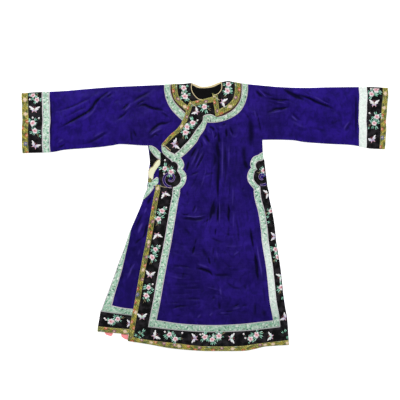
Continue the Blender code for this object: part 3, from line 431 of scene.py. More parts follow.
BACK_FACING = [
    (-62, 440, -62, 498), (-51, 440, -51, 499), (-38, 440, -38, 496), (-27, 440, -27, 490),
    (-11, 440, -11, 488), (12, 440, 12, 489), (31, 440, 31, 493), (47, 440, 47, 500), (63, 440, 63, 506),
    (74, 440, 74, 507),
]

# Spirals on the cloud heads: centre, start angle, turns (signed), inner and outer radius
SPIRALS = {
    "ruyi_left": {"": (-131, 142, 205, 1.2, 9, 33)},
    "ruyi_right": {"": (217, 148, 300, -0.8, 9, 12), "_end": (217, 148, 255, 0.13, 30, 30)},
}
SPIRAL_STEPS = 22
SPIRAL_OPENING = 1.6  # above 1, a spiral opens faster as it goes on
STRIPE_HALVES, STRIPE_GROWTH = (1.6, 4.0), 1.6  # half widths of its stripe, and how soon it is at its widest
DOT_RADIUS, DOT_ROWS = 5, 6  # the round in its middle
DOT_START = 0.3  # the turn of its first row, in radians

BUTTONS = [("button_neck", 34, 452), ("button_collar", -55, 427), ("button_underarm", -158, 268)]
BUTTON_R = 4.0
BUTTON_FLATNESS = 0.7
BUTTON_RINGS, BUTTON_AROUND = 12, 28
WOUND_DEPTH, WOUND_TURNS, WOUND_BOW = 0.07, 5, 2  # how far its winding stands out, how often and how bent
LOOP_LENGTH = 17
LOOP_SLOPE = -0.75

INNER_SHARES = (0, 0.4, 0.72, 0.93, 1)  # columns from the inner edge to the neck's side, closer at the side
INNER_COLUMNS = len(INNER_SHARES) - 1
SLEEVE_COLUMNS = 9
BACK_SKIRT_ROWS = 5
BACK_UPPER_ROWS = 3
FOLD_ROWS = 4
BODY_COLUMNS, SKIRT_ROWS = {"left": 7, "right": 11}, {"left": 12, "right": 24}
FRONT_UPPER_ROWS = 10
ABOVE = 1000  # a height above the whole robe, where its columns stand upright, and a place beyond its sides

LAP_LOWER_ROWS = 22
LAP_UPPER_ROWS = 14
LAP_COLUMNS = 6
BORDER_SHARE = 0.45  # the border lines take at most this share of the lap's width

# Mesh cells
INNER_CELLS, BODY_CELLS = {"left": 16, "right": 12}, {"left": 56, "right": 44}
BORDER_CELLS, SLEEVE_CELLS, SLEEVE_END_CELLS = 14, 45, 44
BACK_CELLS, UPPER_CELLS, SKIRT_CELLS, HEM_CELLS = 12, 56, 168, (6, 12, 5)
LAP_BORDER_CELLS = (5, 12, 7)
LAP_CELLS = (84, 136, 100)  # across the lap, up to the cloud head and up from it
AROUND_CELLS = (14, 10, 56, 6)  # up the back of a sleeve end, over the top, down the front and round below

# Embroidery: what lies where on each band, with the angle that it points in
MOTIFS = {
    "cuff_band_left": [
        ("spray", [(-652, 458), (-638, 441)], 80), ("butterfly", -648, 403, 90, 40, "white"),
        ("spray", [(-654, 353), (-646, 323)], -60), ("bud", -633, 367, 60), ("leaf", -631, 308, -40),
        ("butterfly", -646, 266, 60, 38, "lilac"),
    ],
    "cuff_band_right": [
        ("spray", [(650, 479), (633, 462)], 20), ("butterfly", 642, 426, 90, 40, "white"),
        ("bud", 627, 386, 120), ("spray", [(652, 376), (642, 352)], 200), ("leaf", 625, 336, 200),
        ("butterfly", 636, 289, 110, 36, "lilac"),
    ],
    "collar_left_band": [("spray", [(-80, 486), (-76, 454)], 100)],
    "collar_right_band": [("spray", [(89, 500), (86, 475)], 240), ("butterfly", 68, 433, -20, 36, "white")],
    "lap_band": [
        ("spray", [(-2, 414)], -30), ("butterfly", -32, 395, 150, 34, "white"),
        ("spray", [(-46, 353), (-68, 338), (-74, 317)], 240), ("butterfly", -116, 272, 20, 42, "lilac"),
    ],
    "ruyi_left": [("spray", [(-152, 180), (-129, 167)], 110), ("bud", -152, 207, 90)],
    "ruyi_right": [("spray", [(224, 173)], 200)],
    "lap_border_band": [
        ("butterfly", -153, 84, -70, 36, "white"), ("spray", [(-163, 19), (-176, -11)], 250),
        ("butterfly", -182, -72, -80, 36, "white"), ("spray", [(-188, -127), (-200, -157)], 250),
        ("butterfly", -209, -224, 80, 38, "white"), ("spray", [(-214, -272), (-223, -302)], 250),
        ("butterfly", -239, -384, 90, 38, "mint"), ("patch", -262, -463, 42, 36, 1.3, ("green", "straw")),
        ("leaf", -237, -441, 55, 14), ("leaf", -245, -447, 125, 12), ("leaf", -246, -448, 10, 13),
        ("leaf", -256, -454, 165, 13), ("leaf", -252, -457, -50, 12), ("leaf", -240, -451, -40, 10),
        ("butterfly", -190, -456, 30, 38, "white"), ("spray", [(-135, -450), (-112, -467)], 0),
        ("bud", -89, -448, 60), ("butterfly", -38, -464, 180, 36, "lilac"),
        ("spray", [(0, -460), (27, -469)], 0),
    ],
    "right_border_band": [
        ("bud", -6, -452, 120), ("spray", [(53, -456)], 30), ("butterfly", 99, -464, 0, 38, "mint"),
        ("spray", [(173, -467), (196, -452)], 20), ("bud", 150, -452, 130),
        ("butterfly", 251, -458, 170, 34, "mint"), ("leaf", 302, -441, 60), ("leaf", 298, -445, 140, 10),
        ("leaf", 310, -456, -60), ("butterfly", 238, 86, 200, 34, "white"), ("spray", [(251, 19)], 200),
        ("leaf", 243, 0, 210), ("leaf", 247, -21, 200), ("butterfly", 264, -78, 180, 34, "lilac"),
        ("spray", [(268, -127), (277, -156)], 220), ("butterfly", 287, -230, 210, 32, "mint"),
        ("spray", [(291, -270)], 250), ("leaf", 293, -306, -80), ("butterfly", 303, -386, 150, 34, "lilac"),
    ],
    "underlap_band": [
        ("bud", -378, -393, 130), ("spray", [(-357, -401), (-331, -391)], 10),
        ("butterfly", -287, -408, 180, 28, "lilac"),
    ],
}
THREADS = {
    "white": (0.88, 0.87, 0.88), "pink": (0.84, 0.45, 0.5), "rose": (0.8, 0.26, 0.34),
    "red": (0.6, 0.08, 0.12), "teal": (0.01, 0.1, 0.06), "green": (0.02, 0.24, 0.13),
    "mint": (0.26, 0.68, 0.47), "aqua": (0.54, 0.88, 0.74), "lilac": (0.5, 0.42, 0.72),
    "straw": (0.42, 0.34, 0.18), "blush": (0.86, 0.64, 0.67),
}
WING_ROOTS = {"white": "white", "lilac": "lilac", "mint": "aqua"}
THREAD_SEED = 11
# Sizes and turns: those drawn by chance as a middle value and how far a draw may lie from it
PETAL_TURN, PETAL_LENGTH, PETAL_WIDTH, PETAL_START = (0, 8), (0.49, 0.09), (0.41, 0.07), 0.8
BLOSSOM_SIZE, BLOSSOM_TURN = (21, 2.5), (90, 40)
LEAF_LENGTH, LEAF_TURN, LEAF_REACH = (12.5, 4.5), (0, 35), (8, 3)
LEAF_WIDTH, LEAF_GAP, LEAF_SPREAD = 0.32, 0.1, 9
FORE_WING_TURN, HIND_WING_TURN = (56, 6), (142, 8)
EYE_START, SPRAY_REACH = 1.4, 15
# Lengths and widths of small parts
EYE_SIZE, BUD_SIZE, BUD_LEAF_SIZE, STALK_SIZE = (3.6, 2.4), (9, 6.5), (5, 4), (7, 1.1)
STEM_SIZE, TWIG_SIZE = (30, 1.3), (13, 1.1)
PAD_RINGS, PAD_TOP = ((1.0, 0.0), (0.86, 0.75), (0.5, 1.0)), 1.02  # sizes and heights of a patch, as shares
TIP_GAIN, SIDE_GAIN = 1.3, 0.15  # how soon a patch turns to its tip's colour, along it and towards its sides
EDGE_MARGIN, SHOULDER_MARGIN, UNDERARM_MARGIN = 1.5, 3.5, 2  # stitches stay this far inside a band

RIBBON_WIDTH, BROCADE_WIDTH = 0.027, 0.019  # of their patterns, in metres
# Blossoms of the brocade: where each colour starts in the chance of a spot, and its red, green and blue
BLOSSOM_COLOURS = [
    (0.0, 172, 40, 30), (0.2, 58, 78, 140), (0.36, 214, 190, 164), (0.54, 128, 66, 104), (0.68, 178, 72, 42),
    (0.84, 84, 132, 116),
]

# Stage, in metres
LENS, SENSOR, CLIP_END = 150, 36, 100
VIEW_CENTRE = (-0.019, 0.0608)
VIEW_WIDTH = 1.52
FLOOR_SIZE, FLOOR_GAP, FLOOR_GLOW = 12, 0.0004, 0.6
SKY = 0.4
LIGHTS = [("key", (-2.2, 5.2, 4.8), 1.8, 500), ("fill", (4.0, -2.0, 5.0), 3.0, 90)]
PALE, WHITE = (0.9, 0.9, 0.9, 1), (1, 1, 1, 1)

LOOKS, pieces = {}, {}


def eased(t):
    t = np.clip(t, 0.0, 1.0)
    return t * t * (3 - 2 * t)


def mixed(a, b, t):
    return a + (b - a) * t


def through(rows, at):
    """The smooth curve through rows of (along, value), level beyond both ends."""
    along, value = np.array(rows, float).T
    last = len(rows) - 1
    after, before = np.minimum(np.arange(last + 1) + 1, last), np.maximum(np.arange(last + 1) - 1, 0)
    slope = (value[after] - value[before]) / (along[after] - along[before])
    at = np.clip(np.asarray(at, float), along[0], along[-1])
    k = np.clip(np.searchsorted(along, at, side="right") - 1, 0, last - 1)
    step = along[k + 1] - along[k]
    t = (at - along[k]) / step
    return (
        (1 + 2 * t) * (1 - t) ** 2 * value[k]
        + t * (1 - t) ** 2 * step * slope[k]
        + t * t * (3 - 2 * t) * value[k + 1]
        + t * t * (t - 1) * step * slope[k + 1]
    )


def beyond(x, y, angle, distance):
    """The place at a distance from (x, y), along an angle in degrees."""
    turn = math.radians(angle)
    return x + distance * math.cos(turn), y + distance * math.sin(turn)


# Heights

def base(x, y):
    """Top of a front that lies on the back, higher towards the shoulders."""
    return CONTACT + LOFT * eased((y - through(UNDERARM, x)) / LOFT_RUN)


def ridges(x, y):
    """The soft folds: a sum of straight ridges."""
    total = np.zeros(np.broadcast(x, y).shape)
    for x0, y0, x1, y1, width, height in FOLDS:
        dx, dy = x1 - x0, y1 - y0
        length = math.hypot(dx, dy)
        along = ((x - x0) * dx + (y - y0) * dy) / length
        across = ((x - x0) * dy - (y - y0) * dx) / length
        ends = eased(along / FOLD_TAPER + 0.5) * eased((length - along) / FOLD_TAPER + 0.5)
        total += height * ends * np.exp(-((across / width) ** 2))
    return total


def waves(x, y):
    """The slight unevenness of cloth that has been folded and worn."""
    chance = np.random.default_rng(WAVE_SEED)
    total = np.zeros(np.broadcast(x, y).shape)
    for length, height in WAVES:
        angle, start, bow = (chance.uniform(0, turn) for turn in (math.pi, math.tau, math.tau))
        along = x * math.cos(angle) + y * math.sin(angle)
        aside = y * math.cos(angle) - x * math.sin(angle)
        bowed = WAVE_BOW * np.sin(math.tau * aside / (WAVE_WIDTH * length) + bow)
        total += height * np.sin(math.tau * along / length + start + bowed)
    return total


def corner(a, b):
    """Distance inside an outline that turns a corner, from the distances to its two sides."""
    return np.hypot(np.maximum(a, 0), np.maximum(b, 0))


def creased(x, y):
    """The creases alone: soft ridges and troughs along drawn lines, which thin out at both ends."""
    x, y = np.broadcast_arrays(np.asarray(x, float), np.asarray(y, float))
    total = np.zeros(x.shape)
    for width, height, *line in CREASES:
        spots = np.reshape(line, (-1, 2))
        t = steps((0, len(spots) - 1, CREASE_PARTS * (len(spots) - 1)))
        spots = np.stack([through(list(enumerate(column)), t) for column in spots.T], -1)
        low, high = spots.min(0) - CREASE_REACH * width, spots.max(0) + CREASE_REACH * width
        close = (x > low[0]) & (x < high[0]) & (y > low[1]) & (y < high[1])
        if not close.any():
            continue
        px, py = x[close], y[close]
        near, place, done = np.full(px.shape, np.inf), np.zeros(px.shape), 0.0
        for (x0, y0), (x1, y1) in zip(spots, spots[1:]):
            length = math.hypot(x1 - x0, y1 - y0)
            share = np.clip(((px - x0) * (x1 - x0) + (py - y0) * (y1 - y0)) / length**2, 0, 1)
            gap = np.hypot(px - mixed(x0, x1, share), py - mixed(y0, y1, share))
            place = np.where(gap < near, done + share * length, place)
            near = np.minimum(near, gap)
            done += length
        ends = eased(np.minimum(place, done - place) / (CREASE_RISE * done) + CREASE_START)
        total[close] += height * ends * np.exp(-((near / (width * mixed(CREASE_THIN, 1, ends))) ** 2))
    return total


def loose(x, y, near):
    """Height of the cloth's folds, creases and waves, which die out towards what holds it down."""
    round_neck = (np.hypot((x - NECK[0]) / NECK[2], (y - NECK[1]) / NECK[3]) - 1) * NECK[3]
    cuffs = np.minimum(x - CUFF_X[0], CUFF_X[1] - x)
    near = np.minimum(np.minimum(near, round_neck), cuffs)
    total = PLAY + ridges(x, y) + CREASE_DEPTH * creased(x, y) + waves(x, y)
    return eased(near / FADE) * (total + np.sqrt(total**2 + 1)) / 2


def left_front(x, y):
    side = x - through(SIDE_EDGE["left"], y) - LEFT_HOLD
    under = y - through(UNDERARM, x)
    near = np.minimum(corner(side, under), through(SHOULDER, x) - y)
    near = np.minimum(near, np.where(y < HEM_HOLD_Y, y - through(RIBBON_TOP, x), near))
    lap = np.where(y < LAP_TOP_Y, through(LAP_EDGE, y) - x - LAP_HOLD, near)
    return base(x, y) + loose(x, y, np.minimum(near, lap))


def right_front(x, y):
    side = through(SIDE_EDGE["right"], y) - x - RIGHT_BORDER[0]
    under = y - through(UNDERARM, x)
    near = np.minimum(corner(side, under), through(SHOULDER, x) - y)
    near = np.minimum(near, y - through(RIBBON_TOP, x))
    beside = (LAP_LIFT + CLOTH) * (1 - eased((x - LAP_SEAM_X) / LAP_RUN))
    return base(x, y) + beside + loose(x, y, near)


def lap_front(x, y):
    near = np.minimum(x - through(LAP_EDGE, y) - LAP_BORDER[-1], y - through(RIBBON_TOP, x))
    return base(x, y) + LAP_LIFT + CLOTH + loose(x, y, near)


def any_front(x, y):
    return np.where(x < LAP_SEAM_X, lap_front(x, y), right_front(x, y))


def on_back(x, y):
    return np.full(np.broadcast(x, y).shape, CLOTH)


# Meshes

def steps(*parts):
    """Places along a grid: (start, stop, count) for each part, joined end to end."""
    found = [np.linspace(start, stop, count + 1)[k > 0:] for k, (start, stop, count) in enumerate(parts)]
    return np.concatenate(found)


def stretches(counts, start=0):
    """Parts for steps that are one long each, with these counts."""
    return [(start + k, start + k + 1, count) for k, count in enumerate(counts)]


def grid(i, j):
    return np.meshgrid(i, j, indexing="ij")


def middles(i, j):
    """Centres of a grid's cells, as two arrays."""
    return grid((i[:-1] + i[1:]) / 2, (j[:-1] + j[1:]) / 2)


def quads(number):
    """The four corners of each cell of a grid of numbers."""
    return np.stack([number[:-1, :-1], number[1:, :-1], number[1:, 1:], number[:-1, 1:]], -1)


def volume(points, faces):
    a, b, c, d = (points[faces[:, k]] for k in range(4))
    return (np.cross(a, b) * c).sum() + (np.cross(a, c) * d).sum()


def shell(name, outer, inner, keep, look, uv=None, other_uv=None, other=None, loop=False):
    """A closed shell between two grids of points, for the cells to keep.

    uv places patterns on it, and other_uv does so for the cells that are in other. A grid that closes on
    itself in j has loop set, and repeats its first nodes at its end.
    """
    outer, inner = (np.stack(np.broadcast_arrays(*points), -1).astype(float) for points in (outer, inner))
    number = np.arange(outer[..., 0].size).reshape(outer.shape[:2])
    joined = number.copy()
    if loop:
        joined[:, -1] = joined[:, 0]
    cells, places = quads(joined)[keep], quads(number)[keep]
    cell_edges, place_edges = (
        np.concatenate([q[:, [k, (k + 1) % 4]] for k in range(4)]) for q in (cells, places)
    )
    _, first, count = np.unique(np.sort(cell_edges, 1), axis=0, return_index=True, return_counts=True)
    rim = first[count == 1]
    a, b = cell_edges[rim].T
    below = number.size
    faces = np.concatenate([cells, cells[:, ::-1] + below, np.stack([b, a, a + below, b + below], 1)])
    a, b = place_edges[rim].T
    places = np.concatenate([places, places[:, ::-1], np.stack([b, a, a, b], 1)])
    flags = np.zeros(len(cells), bool) if other is None else other[keep]
    flags = np.concatenate([flags, flags, np.tile(flags, 4)[rim]])
    points = np.concatenate([outer.reshape(-1, 3), inner.reshape(-1, 3)]) / 1000
    if volume(points, faces) < 0:
        faces, places = faces[:, ::-1], places[:, ::-1]
    used, faces = np.unique(faces, return_inverse=True)
    mesh = bpy.data.meshes.new(name)
    mesh.from_pydata(points[used].tolist(), [], faces.reshape(-1, 4).tolist())
    # Silk keeps the crease heights on its front points, used to paint a highlight on crease ridges and shade
    # in crease troughs
    if look == "silk":
        x, y, z = points[used].T * 1000
        layer = mesh.attributes.new("CreaseShading", "FLOAT", "POINT")
        layer.data.foreach_set("value", np.where(z > CONTACT / 2, creased(x, y), 0).astype(np.float32))
    if uv is not None:
        main, second = (
            np.stack(np.broadcast_arrays(*pair), -1).reshape(-1, 2) for pair in (uv, other_uv or uv)
        )
        flat = np.where(np.repeat(flags, 4)[:, None], second[places.ravel()], main[places.ravel()])
        layer = mesh.uv_layers.new(name="Along")
        layer.data.foreach_set("uv", flat.astype(np.float32).ravel())
    finished(name, mesh, look)


def only_used(name, points, faces):
    """A mesh of these faces with just the points that they use, and the numbers of those points."""
    used = sorted({n for face in faces for n in face})
    number = {n: k for k, n in enumerate(used)}
    mesh = bpy.data.meshes.new(name)
    mesh.from_pydata((points[used] / 1000).tolist(), [], [[number[n] for n in face] for face in faces])
    return mesh, used


def placed(name, data):
    """A new object in the scene."""
    made = bpy.data.objects.new(name, data)
    bpy.context.scene.collection.objects.link(made)
    return made


def finished(name, mesh, look, sharp=38):
    mesh.materials.append(LOOKS[look])
    mesh.shade_smooth()
    mesh.set_sharp_from_angle(angle=math.radians(sharp))
    made = placed(f"{name}_sewn", mesh)
    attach(made, "root")
    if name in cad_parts:
        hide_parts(name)
    pieces[name] = made


def run_length(x, y):
    """Length along each line of a grid in j, in metres."""
    step = np.hypot(np.diff(x, axis=1), np.diff(y, axis=1)).mean(0)
    return np.concatenate([[0], np.cumsum(step)]) / 1000


def crown(u, width):
    """How high a trim stands across its width, from 0 at its edges to 1 past CROWN_EDGE inside them."""
    inside = np.minimum(u, 1 - u) * width / CROWN_EDGE
    return np.sqrt(1 - (1 - np.clip(inside, 0, 1)) ** 2)


def over_shoulder(x, y, height, z_out):
    """Points of a trim, carried over the fold of the shoulder where y runs past it."""
    top = through(SHOULDER, x)
    half = height(x, top) / 2
    centre = top - half
    turn = np.clip((y - centre) / half, 0, MOST_TURN)
    radius = half + z_out
    folded = turn > 0
    return (
        x,
        np.where(folded, centre + radius * np.sin(turn), y),
        np.where(folded, half + radius * np.cos(turn), height(x, y) + z_out),
    )


def strip(name, rows, height, look, level=0.0, across=8, per=8, over=(), thick=TRIM, round_top=False):
    """A trim between two edges, a row for each section.

    A row given twice is a corner in both edges, over names the ends, 0 or -1, that go on over the shoulder,
    and round_top gives it the section of a cord.
    """
    rows = [list(row) for row in rows]
    for end in over:
        x0, _, x1, _ = rows[end]
        y0, y1 = (float(through(SHOULDER, x)) + PAST_SHOULDER for x in (x0, x1))
        rows.insert(0 if end == 0 else len(rows), [x0, y0, x1, y1])
    runs = [[rows[0]]]
    for row, last in zip(rows[1:], rows):
        if row == last:
            runs.append([])
        runs[-1].append(row)
    read = []
    for column in range(4):
        parts = []
        for run in runs:
            t = steps((0, len(run) - 1, per * (len(run) - 1)))
            parts.append(through([(k, row[column]) for k, row in enumerate(run)], t)[len(parts) > 0:])
        read.append(np.concatenate(parts))
    u = steps((0, 1, across))[:, None]
    x, y = mixed(read[0], read[2], u), mixed(read[1], read[3], u)
    width = np.hypot(read[0] - read[2], read[1] - read[3])
    rise = crown(u, 2 * CROWN_EDGE + 0 * width if round_top else width)
    outer, inner = (
        over_shoulder(x, y, height, level + up) for up in (UPPER_START + thick * rise, UNDERSIDE)
    )
    keep = np.ones((x.shape[0] - 1, x.shape[1] - 1), bool)
    shell(name, outer, inner, keep, look, uv=(u, run_length(x, y)[None, :]))


def cord(name, path, height, look, level=SECOND_LEVEL, width=PIPING_WIDTH, per=6, over=()):
    """A thin cord along a path of (x, y), lying at a level over the surface."""
    rows = []
    for k, (x, y) in enumerate(path):
        before, after = path[max(k - 1, 0)], path[min(k + 1, len(path) - 1)]
        dx, dy = after[0] - before[0], after[1] - before[1]
        aside = width / 2 / math.hypot(dx, dy)
        rows.append((x + dy * aside, y - dx * aside, x - dy * aside, y + dx * aside))
    strip(name, rows, height, look, level, across=6, per=per, over=over, thick=CORD_HEIGHT * width,
          round_top=True)


# Body halves, each in one length over the shoulder

def half(side, border, front, hem_lines, inner_x):
    """Makes a body half, and gives the places of its front and the columns and rows of its grid.

    Places are found from column and row numbers, which may be fractions. Columns run from the inner edge past
    the neck and the side to the sleeve seam, and rows from the back hem over the shoulder to the front hem.
    """
    sign = -1 if side == "left" else 1
    body_columns, skirt_rows = BODY_COLUMNS[side], SKIRT_ROWS[side]
    side_column = INNER_COLUMNS + body_columns
    seam_column = side_column + SLEEVE_COLUMNS
    fold_start = BACK_SKIRT_ROWS + BACK_UPPER_ROWS
    fold_end = fold_start + FOLD_ROWS
    skirt_start = fold_end + FRONT_UPPER_ROWS
    skirt_end = skirt_start + skirt_rows
    underarm_y = float(through(UNDERARM, SIDE_X[side]))

    def column_x(i, y, layer):
        plain = body_columns - len(border)
        k = i - INNER_COLUMNS
        edge = np.where(y < underarm_y, through(SIDE_EDGE[side], y), SIDE_X[side])
        lines = (*border, 0)
        inset = np.interp(k, np.arange(plain, body_columns + 1), lines)
        body = np.where(k <= plain, mixed(NECK_X[side], edge - lines[0], k / plain), edge - inset)
        shares = np.interp(i, np.arange(INNER_COLUMNS + 1), INNER_SHARES)
        inner = mixed(inner_x[layer], NECK_X[side], shares)
        seam = SLEEVE_X[side] - sign * SEAM / 2
        sleeve = mixed(SIDE_X[side], seam, (i - side_column) / SLEEVE_COLUMNS)
        return np.where(i <= INNER_COLUMNS, inner, np.where(i > side_column, sleeve, body))

    def half_height(x):
        return front(x, through(SHOULDER, x)) / 2

    def upper(i, share, layer, neckline):
        x = column_x(i, ABOVE, layer)
        top = np.where(i < INNER_COLUMNS, through(neckline, x), through(SHOULDER, x) - half_height(x))
        return x, mixed(through(UNDERARM, x), top, share)

    def skirt(i, share, layer, hem):
        x = column_x(i, mixed(underarm_y, float(through(hem, sign * ABOVE)), share), layer)
        return x, mixed(through(UNDERARM, x), through(hem, x), share)

    def front_place(i, j):
        x, y = upper(i, (skirt_start - j) / FRONT_UPPER_ROWS, "front", FRONT_NECK[side])
        below = j > skirt_start
        down = skirt(i, np.clip((j - skirt_start) / skirt_rows, 0, 1), "front", hem_lines[0])
        x, y = np.where(below, down[0], x), np.where(below, down[1], y)
        for k, lines in enumerate(zip(hem_lines, hem_lines[1:])):
            past = j > skirt_end + k
            share = np.clip(j - skirt_end - k, 0, 1)
            one, two = (skirt(i, 1, "front", line) for line in lines)
            x = np.where(past, mixed(one[0], two[0], share), x)
            y = np.where(past, mixed(one[1], two[1], share), y)
        return x, y

    def point(i, j, depth):
        x, y = skirt(i, 1 - j / BACK_SKIRT_ROWS, "back", BACK_HEM)
        up = upper(i, (j - BACK_SKIRT_ROWS) / BACK_UPPER_ROWS, "back", BACK_NECK)
        x, y = (np.where(j <= BACK_SKIRT_ROWS, one, two) for one, two in zip((x, y), up))
        z = depth + 0 * x
        angle = math.pi * ((j - fold_start) / FOLD_ROWS - 0.5)
        over_x = column_x(i, ABOVE, "front")
        high = half_height(over_x)
        in_fold = (j > fold_start) & (j < fold_end)
        x = np.where(in_fold, over_x, x)
        y = np.where(in_fold, through(SHOULDER, over_x) - high + (high - depth) * np.cos(angle), y)
        z = np.where(in_fold, high + (high - depth) * np.sin(angle), z)
        front_x, front_y = front_place(i, j)
        in_front = j >= fold_end
        x, y = np.where(in_front, front_x, x), np.where(in_front, front_y, y)
        return x, y, np.where(in_front, front(x, y) - depth, z)

    def cells(i, j):
        i, j = middles(i, j)
        body = (i < side_column) & ((j < fold_start) | (j > fold_end) | (i > INNER_COLUMNS))
        return body | ((i > side_column) & (j > BACK_SKIRT_ROWS) & (j < skirt_start))

    first = (0, INNER_COLUMNS, INNER_CELLS[side])
    body = (INNER_COLUMNS, side_column - len(border), BODY_CELLS[side])
    edge = (side_column - len(border), side_column, BORDER_CELLS) if border else None
    sleeve = (side_column, seam_column, SLEEVE_CELLS)
    i = steps(*[part for part in (first, body, edge, sleeve) if part])
    j = steps(
        (0, BACK_SKIRT_ROWS, BACK_CELLS), (BACK_SKIRT_ROWS, fold_start, BACK_CELLS),
        (fold_start, fold_end, BACK_CELLS), (fold_end, skirt_start, UPPER_CELLS),
        (skirt_start, skirt_end, SKIRT_CELLS), *stretches(HEM_CELLS[:len(hem_lines) - 1], skirt_end),
    )
    columns, rows = grid(i, j)
    shell(f"body_{side}", point(columns, rows, 0), point(columns, rows, CLOTH), cells(i, j), "silk")
    return front_place, i, j


def body_left():
    inner_x = {"front": UNDERLAP_X, "back": BACK_SEAM_X - SEAM / 2}
    half("left", (), left_front, [UNDERLAP_HEM], inner_x)


def body_right():
    inner_x = {"front": LAP_SEAM_X + SEAM / 2, "back": BACK_SEAM_X + SEAM / 2}
    hem_lines = [RIBBON_TOP, BAND_TOP, BINDING_TOP, FRONT_HEM]
    place, i, j = half("right", RIGHT_BORDER, right_front, hem_lines, inner_x)

    side, hem = INNER_COLUMNS + BODY_COLUMNS["right"], float(j[-1])
    i = i[i <= side]
    columns, rows = grid(i, j)
    x, y = place(columns, rows)
    top = right_front(x, y)
    across, up = side - columns, hem - rows
    mid_columns, mid_rows = middles(i, j)
    cell_across, cell_up = side - mid_columns, hem - mid_rows
    underarm_y, hem_y = float(through(UNDERARM, SIDE_X["right"])), float(through(RIBBON_TOP, ABOVE))
    border_share = (RUYI_END_Y - hem_y) / (underarm_y - hem_y)
    low_enough = mid_rows > hem - (len(hem_lines) - 1) - SKIRT_ROWS["right"] * border_share
    for name, look, side_line, hem_line, width in (
        ("right_hem_binding", "brocade", None, 0, 19), ("right_border_band", "satin", 0, 1, 49),
        ("right_border_ribbon", "ribbon", 1, 2, 27),
    ):
        u, keep = up - hem_line, (cell_up > hem_line) & (cell_up < hem_line + 1)
        on_side = np.zeros(keep.shape, bool)
        if side_line is not None:
            u = np.minimum(u, across - side_line)
            inside = np.minimum(cell_across - side_line, cell_up - hem_line)
            keep = (inside > 0) & (inside < 1) & low_enough
            on_side = cell_across - side_line < cell_up - hem_line
        laid(name, look, x, y, top, u, width, keep, on_side)


def laid(name, look, x, y, top, u, width, keep, on_side):
    """A sewn-on border over cells of a panel, with its pattern turned at the corner between side and hem."""
    rise = crown(np.clip(u, 0, 1), width)
    upper = top + UPPER_START + (BAND if look == "satin" else TRIM) * rise
    shell(name, (x, y, upper), (x, y, top + UNDERSIDE), keep, look,
          uv=(u, x / 1000), other_uv=(u, y / 1000), other=on_side)


# Lap and sleeve ends

def lap_place(i, j):
    """(x, y) of a place on the lap: i from its edge to the centre seam and j from the hem up."""
    lines = [FRONT_HEM, BINDING_TOP, BAND_TOP, RIBBON_TOP]
    last = len(lines) - 1
    low, high = float(through(RIBBON_TOP, -ABOVE)), float(through(LAP_TOP, -ABOVE))
    ruyi_share = (RUYI_END_Y - low) / (high - low)
    lower_end = last + LAP_LOWER_ROWS
    share = np.interp(j, [last, lower_end, lower_end + LAP_UPPER_ROWS], [0, ruyi_share, 1])
    line_y = [float(through(line, -ABOVE)) for line in lines]
    edge_y = np.where(j < last, np.interp(j, range(last + 1), line_y), mixed(low, high, share))
    edge = through(LAP_EDGE, edge_y)
    seam = LAP_SEAM_X - SEAM / 2
    squeeze = np.minimum(1, BORDER_SHARE * (seam - edge) / LAP_BORDER[-1])
    border = edge + np.interp(i, range(last + 1), LAP_BORDER) * squeeze
    inner = mixed(edge + LAP_BORDER[-1] * squeeze, seam, (i - last) / LAP_COLUMNS)
    x = np.where(i <= last, border, inner)
    y = mixed(through(RIBBON_TOP, x), through(LAP_TOP, x), share)
    for k in range(last):
        between = mixed(through(lines[k], x), through(lines[k + 1], x), j - k)
        y = np.where((j >= k) & (j < k + 1), between, y)
    return x, y


def front_lap():
    last = len(LAP_BORDER) - 1
    border, (across, lower, upper) = stretches(LAP_BORDER_CELLS), LAP_CELLS
    i = steps(*border, (last, last + LAP_COLUMNS, across))
    top_row = last + LAP_LOWER_ROWS
    j = steps(*border, (last, top_row, lower), (top_row, top_row + LAP_UPPER_ROWS, upper))
    columns, rows = grid(i, j)
    x, y = lap_place(columns, rows)
    top = lap_front(x, y)
    whole = np.ones((len(i) - 1, len(j) - 1), bool)
    shell("front_lap", (x, y, top), (x, y, top - CLOTH), whole, "silk")
    cell_i, cell_j = middles(i, j)
    for k, (name, look) in enumerate((("binding", "brocade"), ("band", "satin"), ("ribbon", "ribbon"))):
        u = np.minimum(columns, rows) - k
        inside = np.minimum(cell_i, cell_j) - k
        keep = (inside > 0) & (inside < 1) & (cell_j < top_row + (k == 0))
        width = LAP_BORDER[k + 1] - LAP_BORDER[k]
        laid(f"lap_border_{name}", look, x, y, top, u, width, keep, cell_i < cell_j)


def stray(y):
    """How far the lines across a cuff stray from straight."""
    return sum(far * np.sin(y / length + start) for far, length, start in STRAY) - STRAY_IN


